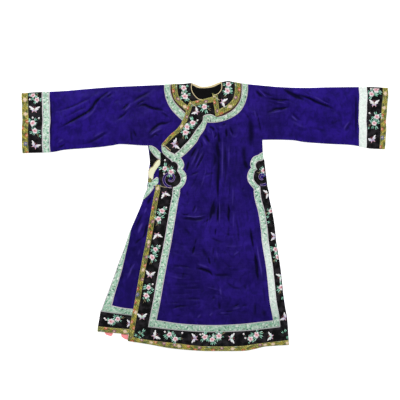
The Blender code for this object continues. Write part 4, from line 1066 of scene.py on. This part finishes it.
def tube(name, side, start, stop, columns, look, extra=0.0):
    """A flattened tube round the sleeve between two lines across it, given at its top and bottom edges."""
    front = left_front if side == "left" else right_front
    sign = -1 if side == "left" else 1
    turn = CONTACT / 2
    share = steps((0, 1, columns))
    inset = sign * TUBE_SEAM / 2 * np.where(share == 0, 1, np.where(share == 1, -1, 0))
    top_x, bottom_x = (mixed(start[k], stop[k], share) + inset for k in (0, 1))
    middle = ((top_x + bottom_x) / 2)[:, None]
    low, high = through(UNDERARM, middle), through(SHOULDER, middle)
    high_half = front(middle, high) / 2
    around = steps(*stretches(AROUND_CELLS))[None, :]

    def section(depth, out):
        back_y = mixed(low + turn, high - high_half, around)
        front_y = mixed(high - high_half, low + turn, around - 2)
        angle, end = math.pi * (around - 1.5), math.pi * (around - 3.5)
        y = np.select(
            [around <= 1, around < 2, around <= 3],
            [back_y, high - high_half + (high_half - depth + out) * np.cos(angle), front_y],
            low + turn - (turn - depth + out) * np.cos(end),
        )
        z = np.select(
            [around <= 1, around < 2, around <= 3],
            [
                depth + 0 * back_y,
                high_half + (high_half - depth) * np.sin(angle) + out * np.clip(np.sin(angle), 0, 1),
                front(middle, front_y) - depth + out,
            ],
            turn - (turn - depth) * np.sin(end) - out * np.clip(np.sin(end), -1, 0),
        )
        x = mixed(bottom_x[:, None], top_x[:, None], (y - low) / (high - low))
        return x + sign * stray(y) * eased((abs(x) - STEADY_X) / STEADY_RUN), y, z

    outer = section(0, extra)
    keep = np.ones((columns, around.shape[1] - 1), bool)
    along = run_length(outer[1], outer[2])[None, :]
    shell(name, outer, section(CLOTH, 0), keep, look, uv=(share[:, None], along), loop=True)


def sleeve_end(side):
    lines = CUFFS[side]
    tube(f"sleeve_{side}", side, (SLEEVE_X[side], SLEEVE_X[side]), lines["ribbon"], SLEEVE_END_CELLS, "silk")
    for part, (stop, columns, look, extra) in CUFF_TRIMS.items():
        tube(f"cuff_{part}_{side}", side, lines[part], lines[stop], columns, look, extra)


# Trims of the neck, the closing edge and the cloud heads

def band(name, rows, height, level=0.0, over=()):
    strip(name, rows, height, "satin", level, across=14, over=over, thick=BAND)


def collar():
    for side, height in (("left", left_front), ("right", any_front)):
        rows, name = COLLAR[side], f"collar_{side}"
        band(f"{name}_band", rows["band"], height, over=(0,))
        strip(f"{name}_ribbon", rows["ribbon"], height, "ribbon", SECOND_LEVEL, over=(0,))
        strip(f"{name}_binding", rows["binding"], height, "brocade", SECOND_LEVEL, over=(0,))
        cord(f"{name}_cord", rows["cord"], height, "maroon", over=(0,))
        cord(f"neck_piping_{side}", rows["piping"], height, "cream", over=(0,), width=3.2)
    strip("collar_right_front_binding", COLLAR["right"]["front_binding"], any_front, "brocade", THIRD_LEVEL)
    strip("back_neck_binding", BACK_NECK_BINDING, on_back, "cream")
    strip("back_neck_facing", BACK_FACING, on_back, "satin", across=12)


def lap_trims():
    band("lap_band", LAP_BAND, lap_front)
    strip("lap_ribbon", LAP_RIBBON, lap_front, "ribbon", LAP_TRIM_LEVEL)
    strip("lap_top_binding", LAP_TOP_BINDING, lap_front, "brocade", LAP_TRIM_LEVEL)
    strip("lap_binding", LAP_BINDING, lap_front, "brocade", THIRD_LEVEL)
    cord("lap_end_piping", LAP_END, lap_front, "cream", width=2.8)
    cord("lap_border_cord", BORDER_CORD, lap_front, "cream", width=1.5)


def spiral(name, x, y, angle, turns, inner, outer, height):
    """A stripe of blue silk wound into a spiral, with a lilac cord along both of its edges."""
    inside, outside = [], []
    for share in steps((0, 1, SPIRAL_STEPS)):
        radius = mixed(inner, outer, share**SPIRAL_OPENING)
        wide = mixed(*STRIPE_HALVES, min(1.0, STRIPE_GROWTH * share))
        turn = angle + 360 * share * turns
        inside.append(beyond(x, y, turn, radius - wide))
        outside.append(beyond(x, y, turn, radius + wide))
    stripe = [(*a, *b) for a, b in zip(inside, outside)]
    strip(f"{name}_stripe", stripe, height, "silk", BAND, across=4, per=3, thick=LINING)
    cord(f"{name}_piping", outside, height, "lilac", per=3, width=2.0)
    cord(f"{name}_inner_piping", inside, height, "lilac", per=3, width=2.0)


def dot(name, x, y, height):
    """The round of blue silk in the middle of a spiral."""
    turns = (0, *np.degrees(np.linspace(DOT_START, math.pi - DOT_START, DOT_ROWS)), 180)
    disc = [(*beyond(x, y, 180 - turn, DOT_RADIUS), *beyond(x, y, 180 + turn, DOT_RADIUS)) for turn in turns]
    strip(name, disc, height, "silk", SECOND_LEVEL, per=2)


def ruyi(side, height):
    name = f"ruyi_{side}"
    band(name, RUYI[side]["band"], height, FIRST_LEVEL)
    strip(f"{name}_ribbon", RUYI[side]["ribbon"], height, "ribbon", SECOND_LEVEL)
    for part, numbers in SPIRALS[name].items():
        spiral(f"{name}{part}", *numbers, height)
        if not part:
            dot(f"{name}_dot", *numbers[:2], height)


def underlap_trims():
    looks = {
        "ruyi_band": "satin", "band": "satin", "ruyi_ribbon": "ribbon", "ruyi_binding": "pale",
        "end_ribbon": "ribbon", "side_ribbon": "ribbon", "upper_ribbon": "ribbon", "hem_ribbon": "ribbon",
        "binding": "brocade", "end_binding": "brocade",
    }
    for step, (part, look) in enumerate(looks.items()):
        level, thick = SECOND_LEVEL + UNDERLAP_STEP * step, TRIM
        if look == "satin":
            level, thick = FIRST_LEVEL, BAND
        strip(f"underlap_{part}", UNDERLAP[part], left_front, look, level, thick=thick)
    cord("underlap_ruyi_cord", UNDERLAP_CORD, left_front, "cream", THIRD_LEVEL, width=2.2)
    strip("back_hem_lining", HEM_LINING[0], on_back, "coral", thick=LINING)
    strip("back_hem_lining_end", HEM_LINING[1], on_back, "coral", thick=LINING)


# Embroidery

class Stitches:
    """Padded satin stitch on a band: patches of thread with a colour for each point."""

    def __init__(self, seed):
        self.points, self.faces, self.shades, self.threads = [], [], [], []
        self.chance = np.random.default_rng(seed)

    def patch(self, x, y, angle, length, width, colours, height=0.7, point=0.0, level=0.0, segments=14):
        """One patch from its root at (x, y) along its angle, in two colours from its root to its tip.

        point narrows the tip, or widens it where it is below 0.
        """
        turn = np.linspace(0, math.tau, segments, endpoint=False)
        outline_a = 0.5 - 0.5 * np.cos(turn)
        outline_b = np.sin(turn) * (1 - point * outline_a)
        start = len(self.points)
        for ring, lift in PAD_RINGS:
            for a, b in zip(outline_a, outline_b):
                share, aside = 0.5 + (a - 0.5) * ring, b * ring * width / 2
                place = beyond(*beyond(x, y, angle, share * length), angle + 90, aside)
                self.add(*place, level + height * lift, share * length, aside, colours, share, abs(b) * ring)
        tip = len(self.points)
        middle = beyond(x, y, angle, length / 2)
        self.add(*middle, level + height * PAD_TOP, length / 2, 0, colours, 0.5, 0)
        for first in range(start, tip, segments):
            for k in range(segments):
                a, b = first + k, first + (k + 1) % segments
                outer = first + segments < tip
                self.faces.append((a, b, b + segments, a + segments) if outer else (a, b, tip))

    def add(self, x, y, z, along, aside, colours, to_tip, to_side):
        """Adds a point with its place in the threads and its colour, between the root's and the tip's."""
        self.points.append((x, y, z))
        self.threads.append((along / 1000, aside / 1000))
        root, tip = (np.array(THREADS[name]) for name in colours)
        self.shades.append(tuple(mixed(root, tip, eased(TIP_GAIN * to_tip + SIDE_GAIN * to_side))))

    def about(self, value, spread):
        return value + self.chance.uniform(-spread, spread)

    def leaf(self, x, y, angle, size=13.0):
        """A leaf in two greens, one to each side of its rib."""
        for side, tones in ((-1, ("teal", "mint")), (1, ("green", "aqua"))):
            root = beyond(x, y, angle + 90 * side, LEAF_GAP * size)
            self.patch(*root, angle + LEAF_SPREAD * side, size, LEAF_WIDTH * size, tones, height=0.5,
                       point=0.55)

    def blossom(self, x, y, size, turn):
        """Five pale petals, pink towards the centre, with a stitched eye."""
        for k in range(5):
            angle = turn + 72 * k + self.about(*PETAL_TURN)
            length = size * self.about(*PETAL_LENGTH)
            tones = ("rose" if k in (1, 3) else "pink", "blush" if k in (1, 4) else "white")
            width = size * self.about(*PETAL_WIDTH)
            self.patch(*beyond(x, y, angle, PETAL_START), angle, length, width, tones, height=0.9,
                       point=-0.15, level=0.25)
        for angle in (turn, turn + 120, turn + 240):
            self.patch(*beyond(x, y, angle, EYE_START), angle, *EYE_SIZE, ("red", "rose"), height=0.6,
                       level=1.0, segments=8)

    def bud(self, x, y, angle):
        """A bud in its leaf, on a stalk."""
        self.patch(x, y, angle, *BUD_SIZE, ("rose", "white"), height=0.8, level=0.2)
        self.patch(x, y, angle + 10, *BUD_LEAF_SIZE, ("teal", "mint"), point=0.4, level=0.4, segments=8)
        self.patch(x, y, angle + 180, *STALK_SIZE, ("teal", "green"), height=0.4, segments=8)

    def spray(self, centres, angle):
        """Blossoms with leaves round them, a bud, and a short stem that runs on at an angle."""
        x, y = centres[-1]
        self.patch(x, y, angle, *STEM_SIZE, ("green", "straw"), height=0.35)
        self.patch(*beyond(x, y, angle, SPRAY_REACH), angle + 35, *TWIG_SIZE, ("straw", "straw"), height=0.35,
                   segments=8)
        for k, (x, y) in enumerate(centres):
            for turn in range(0, 360, 60):
                out = self.about(turn + 25 * k, 28)
                root = beyond(x, y, out, self.about(*LEAF_REACH))
                self.leaf(*root, out + self.about(*LEAF_TURN), self.about(*LEAF_LENGTH))
        for x, y in centres:
            self.blossom(x, y, self.about(*BLOSSOM_SIZE), self.about(*BLOSSOM_TURN))
        self.bud(*beyond(*centres[0], angle + 150, SPRAY_REACH), angle + 150)

    def butterfly(self, x, y, angle, size, tone):
        """Two long fore wings, two thin hind wings, a body and two feelers. The angle is that of its head."""
        root = WING_ROOTS[tone]
        for side in (-1, 1):
            fore, hind = (angle + side * self.about(*turn) for turn in (FORE_WING_TURN, HIND_WING_TURN))
            self.patch(x, y, fore, size * 0.62, size * 0.22, (root, "white"), height=0.8, point=0.25,
                       level=0.2)
            self.patch(x, y, fore + side * 24, size * 0.4, size * 0.16, (root, "white"), point=0.3)
            self.patch(x, y, hind, size * 0.36, size * 0.09, ("lilac", "pink"), height=0.5, point=0.3)
            self.patch(x, y, hind - side * 22, size * 0.26, size * 0.1, (root, "lilac"), height=0.5)
            self.patch(x, y, angle + side * 16, size * 0.4, 0.9, ("straw", "rose"), height=0.4, segments=8)
        tail = beyond(x, y, angle + 180, size * 0.16)
        self.patch(*tail, angle, size * 0.3, size * 0.1, (root, "straw"), height=0.9, level=0.5)

    def work(self, name, height, level, inside):
        """Makes the mesh, lying at a level over the surface, and cut off where inside is false."""
        points = np.array(self.points)
        kept = inside(points[:, 0], points[:, 1])
        points[:, 2] += height(points[:, 0], points[:, 1]) + level
        faces = [face for face in self.faces if kept[list(face)].all()]
        mesh, used = only_used(name, points, faces)
        shade = mesh.color_attributes.new("Shade", "FLOAT_COLOR", "POINT")
        shade.data.foreach_set("color", np.array([(*self.shades[n], 1) for n in used], np.float32).ravel())
        layer = mesh.uv_layers.new(name="Thread")
        flat = np.array([self.threads[n] for face in faces for n in face], np.float32)
        layer.data.foreach_set("uv", flat.ravel())
        finished(name, mesh, "thread", sharp=60)


def in_cuff(side):
    """A test for what is inside a cuff band, clear of its edges."""
    first, last = sorted(CUFFS[side][line][0] for line in ("band", "binding"))

    def inside(x, y):
        across = (x > first + EDGE_MARGIN) & (x < last - EDGE_MARGIN)
        return across & below_shoulder(x, y) & (y > through(UNDERARM, x) + UNDERARM_MARGIN)

    return inside


def anywhere(x, y):
    return np.full(x.shape, True)


def below_shoulder(x, y):
    return y < through(SHOULDER, x) - SHOULDER_MARGIN


def in_right_side(x, y):
    return x < through(SIDE_EDGE["right"], y) - EDGE_MARGIN


def beside_lap(x, y):
    return x < through(LAP_EDGE, y) - EDGE_MARGIN


def embroidery():
    cloth = {
        "cuff_band_left": (left_front, in_cuff("left")),
        "cuff_band_right": (right_front, in_cuff("right")),
        "collar_left_band": (left_front, below_shoulder),
        "collar_right_band": (any_front, below_shoulder),
        "lap_band": (lap_front, anywhere),
        "ruyi_left": (lap_front, anywhere),
        "ruyi_right": (right_front, in_right_side),
        "lap_border_band": (lap_front, anywhere),
        "right_border_band": (any_front, in_right_side),
        "underlap_band": (left_front, beside_lap),
    }
    for seed, (name, motifs) in enumerate(MOTIFS.items(), THREAD_SEED):
        work = Stitches(seed)
        for kind, *values in motifs:
            getattr(work, kind)(*values)
        height, inside = cloth[name]
        level = CUFF_TRIMS["band"][-1] if "cuff" in name else SECOND_LEVEL
        work.work(f"embroidery_{name}", height, level, inside)


def buttons():
    """Small knots of cord, each with the end of its loop beside it."""
    a, b = grid(np.linspace(0, math.pi, BUTTON_RINGS + 1), np.linspace(0, math.tau, BUTTON_AROUND + 1))
    wound = 1 + WOUND_DEPTH * np.cos(WOUND_TURNS * a + WOUND_BOW * np.sin(b)) * np.sin(a)
    number = np.arange(a.size).reshape(a.shape)
    number[:, -1] = number[:, 0]
    number[0], number[-1] = number[0, 0], number[-1, 0]
    faces = [list(dict.fromkeys(face)) for face in quads(number).reshape(-1, 4).tolist()]
    for name, x, y in BUTTONS:
        seat = float(lap_front(x, y)) + THIRD_LEVEL
        points = np.stack([
            x + BUTTON_R * wound * np.sin(a) * np.cos(b),
            y + BUTTON_R * wound * np.sin(a) * np.sin(b),
            seat + BUTTON_FLATNESS * BUTTON_R * (1 + wound * np.cos(a)),
        ], -1)
        mesh, _ = only_used(name, points.reshape(-1, 3), faces)
        finished(name, mesh, "cream", sharp=70)
        start = x + BUTTON_R
        path = [(start + out, y + LOOP_SLOPE * out) for out in (0, LOOP_LENGTH / 2, LOOP_LENGTH)]
        cord(name.replace("button", "loop"), path, lap_front, "cream", THIRD_LEVEL + TRIM)


# Looks

def srgb(*colour):
    """A colour given as 0 to 255, as Blender's shaders want it."""
    values = np.array(colour) / 255
    linear = np.where(values <= 0.04045, values / 12.92, ((values + 0.055) / 1.055) ** 2.4)
    return tuple(float(v) for v in linear)


def spaced(values):
    """Values by the names of sockets, from keywords."""
    return {key.replace("_", " "): value for key, value in values.items()}


class Look:
    """A material and short ways to make its nodes."""

    def __init__(self, name, roughness, **sockets):
        LOOKS[name] = bpy.data.materials.new(name)
        LOOKS[name].use_nodes = True
        self.tree = LOOKS[name].node_tree
        self.shader = self.tree.nodes["Principled BSDF"]
        for key, value in {"Roughness": roughness, **spaced(sockets)}.items():
            self.shader.inputs[key].default_value = value

    def node(self, kind, inputs=(), **settings):
        made = self.tree.nodes.new("ShaderNode" + kind)
        for key, value in settings.items():
            setattr(made, key, value)
        for key, value in dict(inputs).items():
            self.join(made.inputs[key], value)
        return made

    def join(self, socket, value):
        if isinstance(value, bpy.types.NodeSocket):
            self.tree.links.new(value, socket)
        else:
            socket.default_value = value

    def math(self, operation, a, b=0.0):
        return self.node("Math", {0: a, 1: b}, operation=operation).outputs[0]

    def times(self, first, *others):
        for other in others:
            first = self.math("MULTIPLY", first, other)
        return first

    def plus(self, first, *others):
        for other in others:
            first = self.math("ADD", first, other)
        return first

    def attribute(self, name, output):
        return self.node("Attribute", attribute_name=name).outputs[output]

    def places(self, scale, uv=None):
        """Object places in metres, or a pattern's own places, stretched by a scale for each axis."""
        if uv:
            source = self.node("UVMap", uv_map=uv).outputs["UV"]
        else:
            source = self.node("TexCoord").outputs["Object"]
        return self.node("Mapping", {"Vector": source, "Scale": scale}).outputs["Vector"]

    def axes(self, uv=None):
        """The places as numbers for each axis."""
        return list(self.node("SeparateXYZ", {0: self.places((1, 1, 1), uv)}).outputs)

    def flat(self, across, along):
        """A place from two numbers."""
        return self.node("CombineXYZ", {0: across, 1: along}).outputs[0]

    def noise(self, vector, scale=1.0, detail=2.0, **more):
        inputs = {"Vector": vector, "Scale": scale, "Detail": detail, **more}
        return self.node("TexNoise", inputs).outputs["Fac"]

    def wave(self, vector, scale, direction, **more):
        inputs = {"Vector": vector, "Scale": scale, **spaced(more)}
        return self.node("TexWave", inputs, bands_direction=direction).outputs["Fac"]

    def spots(self, vector, scale, randomness, **settings):
        """How far the nearest of some scattered spots is, and three chance values for it."""
        inputs = {"Vector": vector, "Scale": scale, "Randomness": randomness}
        made = self.node("TexVoronoi", inputs, **settings)
        chances = self.node("SeparateColor", {0: made.outputs["Color"]}).outputs
        return made.outputs["Distance"], list(chances)

    def blend(self, share, a, b):
        made = self.node("Mix", data_type="RGBA")
        for number, value in ((0, share), (6, a), (7, b)):
            if isinstance(value, tuple):
                value = (*value, 1)
            self.join(made.inputs[number], value)
        return made.outputs[2]

    def tinted(self, colour, *layers):
        """A colour under layers of others, each with where it lies, how strongly, and its colour."""
        for where, strength, *tone in layers:
            share = where if strength == 1 else self.times(where, strength)
            colour = self.blend(share, colour, srgb(*tone))
        return colour

    def step(self, value, low, high):
        """0 at low and 1 at high, smooth between and level beyond."""
        made = self.node("MapRange", {0: value, 1: low, 2: high}, interpolation_type="SMOOTHSTEP")
        return made.outputs[0]

    def from_middle(self, value, middle=0.0):
        """How far a value is from the middle."""
        return self.math("ABSOLUTE", self.math("SUBTRACT", value, middle) if middle else value)

    def chosen(self, chance, stops):
        """The colour of the last stop that a chance value has passed."""
        ramp = self.node("ValToRGB", {0: chance})
        ramp.color_ramp.interpolation = "CONSTANT"
        elements = ramp.color_ramp.elements
        while len(elements) < len(stops):
            elements.new(0.5)
        for element, (place, *tone) in zip(elements, stops):
            element.position = place
            element.color = (*srgb(*tone), 1)
        return ramp.outputs["Color"]

    def finish(self, colour, *bumps):
        self.join(self.shader.inputs["Base Color"], colour)
        end = self.shader.inputs["Normal"]
        for height, distance in reversed(bumps):
            bump = self.node("Bump", {"Height": height, "Distance": distance, "Strength": 1.0})
            self.join(end, bump.outputs["Normal"])
            end = bump.inputs["Normal"]


def silk():
    look = Look("silk", roughness=0.5, Specular_IOR_Level=0.04, Sheen_Weight=0.02,
                Sheen_Roughness=0.35, Sheen_Tint=(0.35, 0.3, 1.0, 1))
    step, times = look.step, look.times
    broad = look.noise(look.places((9, 9, 9)), detail=3)
    slub = look.noise(look.places((22, 420, 60)), detail=3)
    warp = look.noise(look.places((900, 60, 60)), detail=1)
    crumple = look.noise(look.places((26, 34, 26)), Distortion=0.4)
    # a fine crinkle that bumps the silk and also paints shade in its hollows and a greyish sheen on its rises
    crinkle_and_shading = look.noise(look.places((75, 42, 60)), detail=4, Distortion=0.6)
    # crease heights, which paint a highlight on crease ridges and shade in crease troughs
    fold = look.attribute("CreaseShading", "Fac")
    x, y = look.axes()[:2]
    underlap = times(step(x, -0.225, -0.25), step(y, 0.1, 0.0))
    hem = times(step(y, -0.15, -0.4), 0.5)
    colour = look.tinted(
        look.blend(step(broad, 0.36, 0.66), srgb(27, 13, 86), srgb(37, 19, 112)),
        (step(slub, 0.45, 0.75), 0.25, 48, 31, 124),
        # painted light: the silk is brighter towards both sleeves
        (step(look.from_middle(x), 0.2, 0.42), 0.5, 36, 17, 124),
        (look.math("MAXIMUM", underlap, hem), 0.5, 18, 9, 68),
        # painted shade in the crinkle's hollows
        (step(crinkle_and_shading, 0.54, 0.36), 0.4, 13, 8, 62),
        # painted sheen on the crinkle's rises
        (step(crinkle_and_shading, 0.52, 0.78), 0.25, 50, 37, 128),
        # painted shade in the hollows of the crumple's bumps
        (step(crumple, 0.58, 0.36), 0.3, 12, 7, 58),
        # painted highlight on the crease ridges
        (step(fold, 0.1, 1.9), 0.7, 68, 53, 144),
        # painted shade in the crease troughs
        (step(times(fold, -1.0), 0.1, 3.0), 0.92, 5, 3, 30),
    )
    look.finish(colour, (crumple, 0.0024), (crinkle_and_shading, 0.0007), (slub, 0.00012), (warp, 0.00006))


def satin():
    look = Look("satin", roughness=0.42, Specular_IOR_Level=0.1, Sheen_Weight=0.0)
    # its lighter patches, on the rises of its bump, are partly dust and partly painted sheen
    cloud = look.noise(look.places((55, 55, 55)), detail=3)
    rib = look.noise(look.places((40, 1500, 40)), detail=1)
    colour = look.tinted(
        look.blend(look.step(cloud, 0.4, 0.7), srgb(4, 4, 5), srgb(36, 33, 37)),
        # painted shade: satin lying lowest, inside the neck opening, is painted almost black
        (look.step(look.axes()[2], 0.0033, 0.0028), 1, 2, 2, 2),
    )
    look.finish(colour, (cloud, 0.0012), (rib, 0.00008))


def ribbon():
    """Pale woven ribbon with small dark leaves, and a light edge beside a thin line on both sides."""
    look = Look("ribbon", roughness=0.55, Specular_IOR_Level=0.25, Sheen_Weight=0.1)
    step, times = look.step, look.times
    across, along = look.axes("Along")[:2]
    x, y = look.axes()[:2]
    flat = look.flat(times(across, RIBBON_WIDTH), along)
    distance, chances = look.spots(flat, 105.0, 1.0)
    reach = look.plus(distance, times(look.noise(flat, 380.0), 0.7))
    vine = look.wave(flat, 34.0, "DIAGONAL", Distortion=9.0, Detail=2.0, Detail_Scale=2.4)
    leaf = times(step(reach, 0.78, 0.68), step(chances[0], 0.2, 0.4))
    leaf = look.math("MAXIMUM", leaf, times(step(vine, 0.12, 0.04), 0.55))
    ground = look.blend(step(look.noise(flat, 70.0), 0.35, 0.65), srgb(138, 182, 156), srgb(192, 214, 198))
    green = look.blend(step(chances[1], 0.4, 0.6), srgb(72, 144, 104), srgb(28, 74, 70))
    bud = times(step(reach, 0.6, 0.52), step(chances[2], 0.7, 0.72))
    rim = look.from_middle(across, 0.5)
    right, left = step(x, 0.5, 0.56), step(x, -0.54, -0.58)
    side = times(step(x, 0.17, 0.2), step(y, -0.02, -0.16), step(y, -0.39, -0.365))
    colour = look.tinted(
        look.blend(times(leaf, 0.9), ground, green),
        (bud, 0.7, 214, 172, 176),
        (step(look.noise(flat, 120.0, 1.0), 0.55, 0.65), 0.85, 234, 241, 230),
        (times(step(rim, 0.34, 0.36), step(rim, 0.39, 0.37)), 0.6, 84, 120, 104),
        (step(rim, 0.38, 0.4), 1, 198, 190, 196),
        (step(rim, 0.475, 0.5), 0.8, 90, 78, 96),
        (look.plus(times(right, 0.66), times(left, 0.08), times(side, 0.48)), 1, 246, 251, 248),
        (step(y, -0.30, -0.38), 0.3, 90, 126, 106),
        (times(step(y, 0.2, 0.25), step(look.from_middle(x), 0.4, 0.3)), 0.2, 120, 132, 96),
    )
    look.finish(colour, (leaf, 0.0002), (look.wave(flat, 330.0, "Y"), 0.00012))


def brocade():
    """Olive-gold ribbon with slanting leaves and small blossoms in several colours."""
    look = Look("brocade", roughness=0.55, Specular_IOR_Level=0.25, Sheen_Weight=0.08)
    step, times = look.step, look.times
    across, along = look.axes("Along")[:2]
    flat = look.flat(times(across, BROCADE_WIDTH), along)
    slant = look.node("Mapping", {"Vector": flat, "Rotation": (0, 0, 0.9), "Scale": (170, 52, 1)}).outputs[0]
    leaves = look.node("TexVoronoi", {"Vector": slant, "Scale": 1.0, "Randomness": 0.8}).outputs["Distance"]
    twig, patch = look.noise(slant, 1.1), look.noise(flat, 54.0, 1.0)
    stripe = look.wave(flat, 70.0, "DIAGONAL", Distortion=2.5, Detail=1.0)
    wide = look.flat(times(across, 0.8), times(along, 36.0))
    distance, chances = look.spots(wide, 1.0, 0.9, voronoi_dimensions="2D")
    reach = look.plus(distance, times(look.noise(flat, 300.0, 1.0), 0.5))
    blossom = step(reach, 0.54, 0.46)
    colour = look.tinted(
        look.blend(step(leaves, 0.2, 0.55), srgb(84, 98, 34), srgb(142, 138, 68)),
        (step(twig, 0.48, 0.58), 0.8, 42, 50, 22),
        (step(twig, 0.43, 0.35), 0.8, 214, 206, 122),
        (step(patch, 0.48, 0.62), 0.6, 184, 168, 62),
        (step(patch, 0.46, 0.34), 0.5, 64, 96, 62),
        (step(stripe, 0.6, 0.8), 0.6, 66, 74, 22),
    )
    petals = look.chosen(chances[0], BLOSSOM_COLOURS)
    colour = look.tinted(
        look.blend(times(blossom, 0.85), colour, petals),
        (step(reach, 0.38, 0.33), 0.7, 222, 196, 170),
        (step(look.from_middle(across, 0.5), 0.42, 0.46), 0.7, 164, 158, 96),
    )
    look.finish(colour, (blossom, 0.0002), (look.wave(flat, 380.0, "DIAGONAL"), 0.00012))


def corded(name, dark, light, relief=0.0003):
    """Cord or plain cloth in one colour family, with a slanting twist."""
    look = Look(name, roughness=0.5, Specular_IOR_Level=0.3, Sheen_Weight=0.1)
    twist = look.wave(look.places((0.004, 1, 1), "Along"), 160.0, "DIAGONAL", Distortion=0.4)
    share = look.times(look.plus(twist, look.noise(look.places((60, 60, 60)))), 0.5)
    look.finish(look.blend(share, srgb(*dark), srgb(*light)), (twist, relief))


def thread():
    look = Look("thread", roughness=0.42, Specular_IOR_Level=0.35, Sheen_Weight=0.1)
    shade = look.attribute("Shade", "Color")
    strands = look.wave(look.places((1, 1, 1), "Thread"), 420.0, "Y", Distortion=0.6)
    dark = look.node("HueSaturation", {"Value": 0.78, "Color": shade}).outputs[0]
    look.finish(look.blend(look.step(strands, 0.0, 0.6), dark, shade), (strands, 0.00025))


def looks():
    for make in (silk, satin, ribbon, brocade, thread):
        make()
    corded("cream", (176, 158, 112), (226, 212, 170))
    corded("pale", (206, 204, 160), (236, 238, 212), 0.00004)
    corded("maroon", (58, 18, 24), (96, 34, 40))
    corded("lilac", (104, 84, 128), (162, 140, 184))
    corded("coral", (236, 132, 136), (244, 150, 150), 0.00004)


# Stage

def stage():
    floor_look = bpy.data.materials.new("floor")
    floor_look.use_nodes = True
    shader = floor_look.node_tree.nodes["Principled BSDF"].inputs
    shader["Base Color"].default_value = PALE
    shader["Roughness"].default_value = 1.0
    shader["Specular IOR Level"].default_value = 0.0
    shader["Emission Color"].default_value = WHITE
    shader["Emission Strength"].default_value = FLOOR_GLOW
    mesh = bpy.data.meshes.new("floor")
    size = FLOOR_SIZE / 2
    corners = [(-size, -size, 0), (size, -size, 0), (size, size, 0), (-size, size, 0)]
    mesh.from_pydata(corners, [], [(0, 1, 2, 3)])
    mesh.materials.append(floor_look)
    floor = placed("floor", mesh)
    floor.location.z = -FLOOR_GAP

    camera = bpy.data.cameras.new("camera")
    camera.lens, camera.sensor_width = LENS, SENSOR
    camera.clip_end = CLIP_END
    eye = placed("camera", camera)
    eye.location = (*VIEW_CENTRE, VIEW_WIDTH * LENS / SENSOR)
    bpy.context.scene.camera = eye

    for name, place, size, power in LIGHTS:
        data = bpy.data.lights.new(name, "AREA")
        data.size, data.energy = size, power
        lamp = placed(name, data)
        lamp.location = place
        lamp.rotation_euler = (-Vector(place)).to_track_quat("-Z", "Y").to_euler()

    world = bpy.data.worlds.new("world")
    world.use_nodes = True
    background = world.node_tree.nodes["Background"].inputs
    background["Color"].default_value = WHITE
    background["Strength"].default_value = SKY
    bpy.context.scene.world = world
    bpy.context.scene.view_settings.view_transform = "Standard"


stage()
looks()
body_left()
body_right()
front_lap()
for hand in ("left", "right"):
    sleeve_end(hand)
collar()
lap_trims()
ruyi("left", lap_front)
ruyi("right", right_front)
underlap_trims()
buttons()
embroidery()
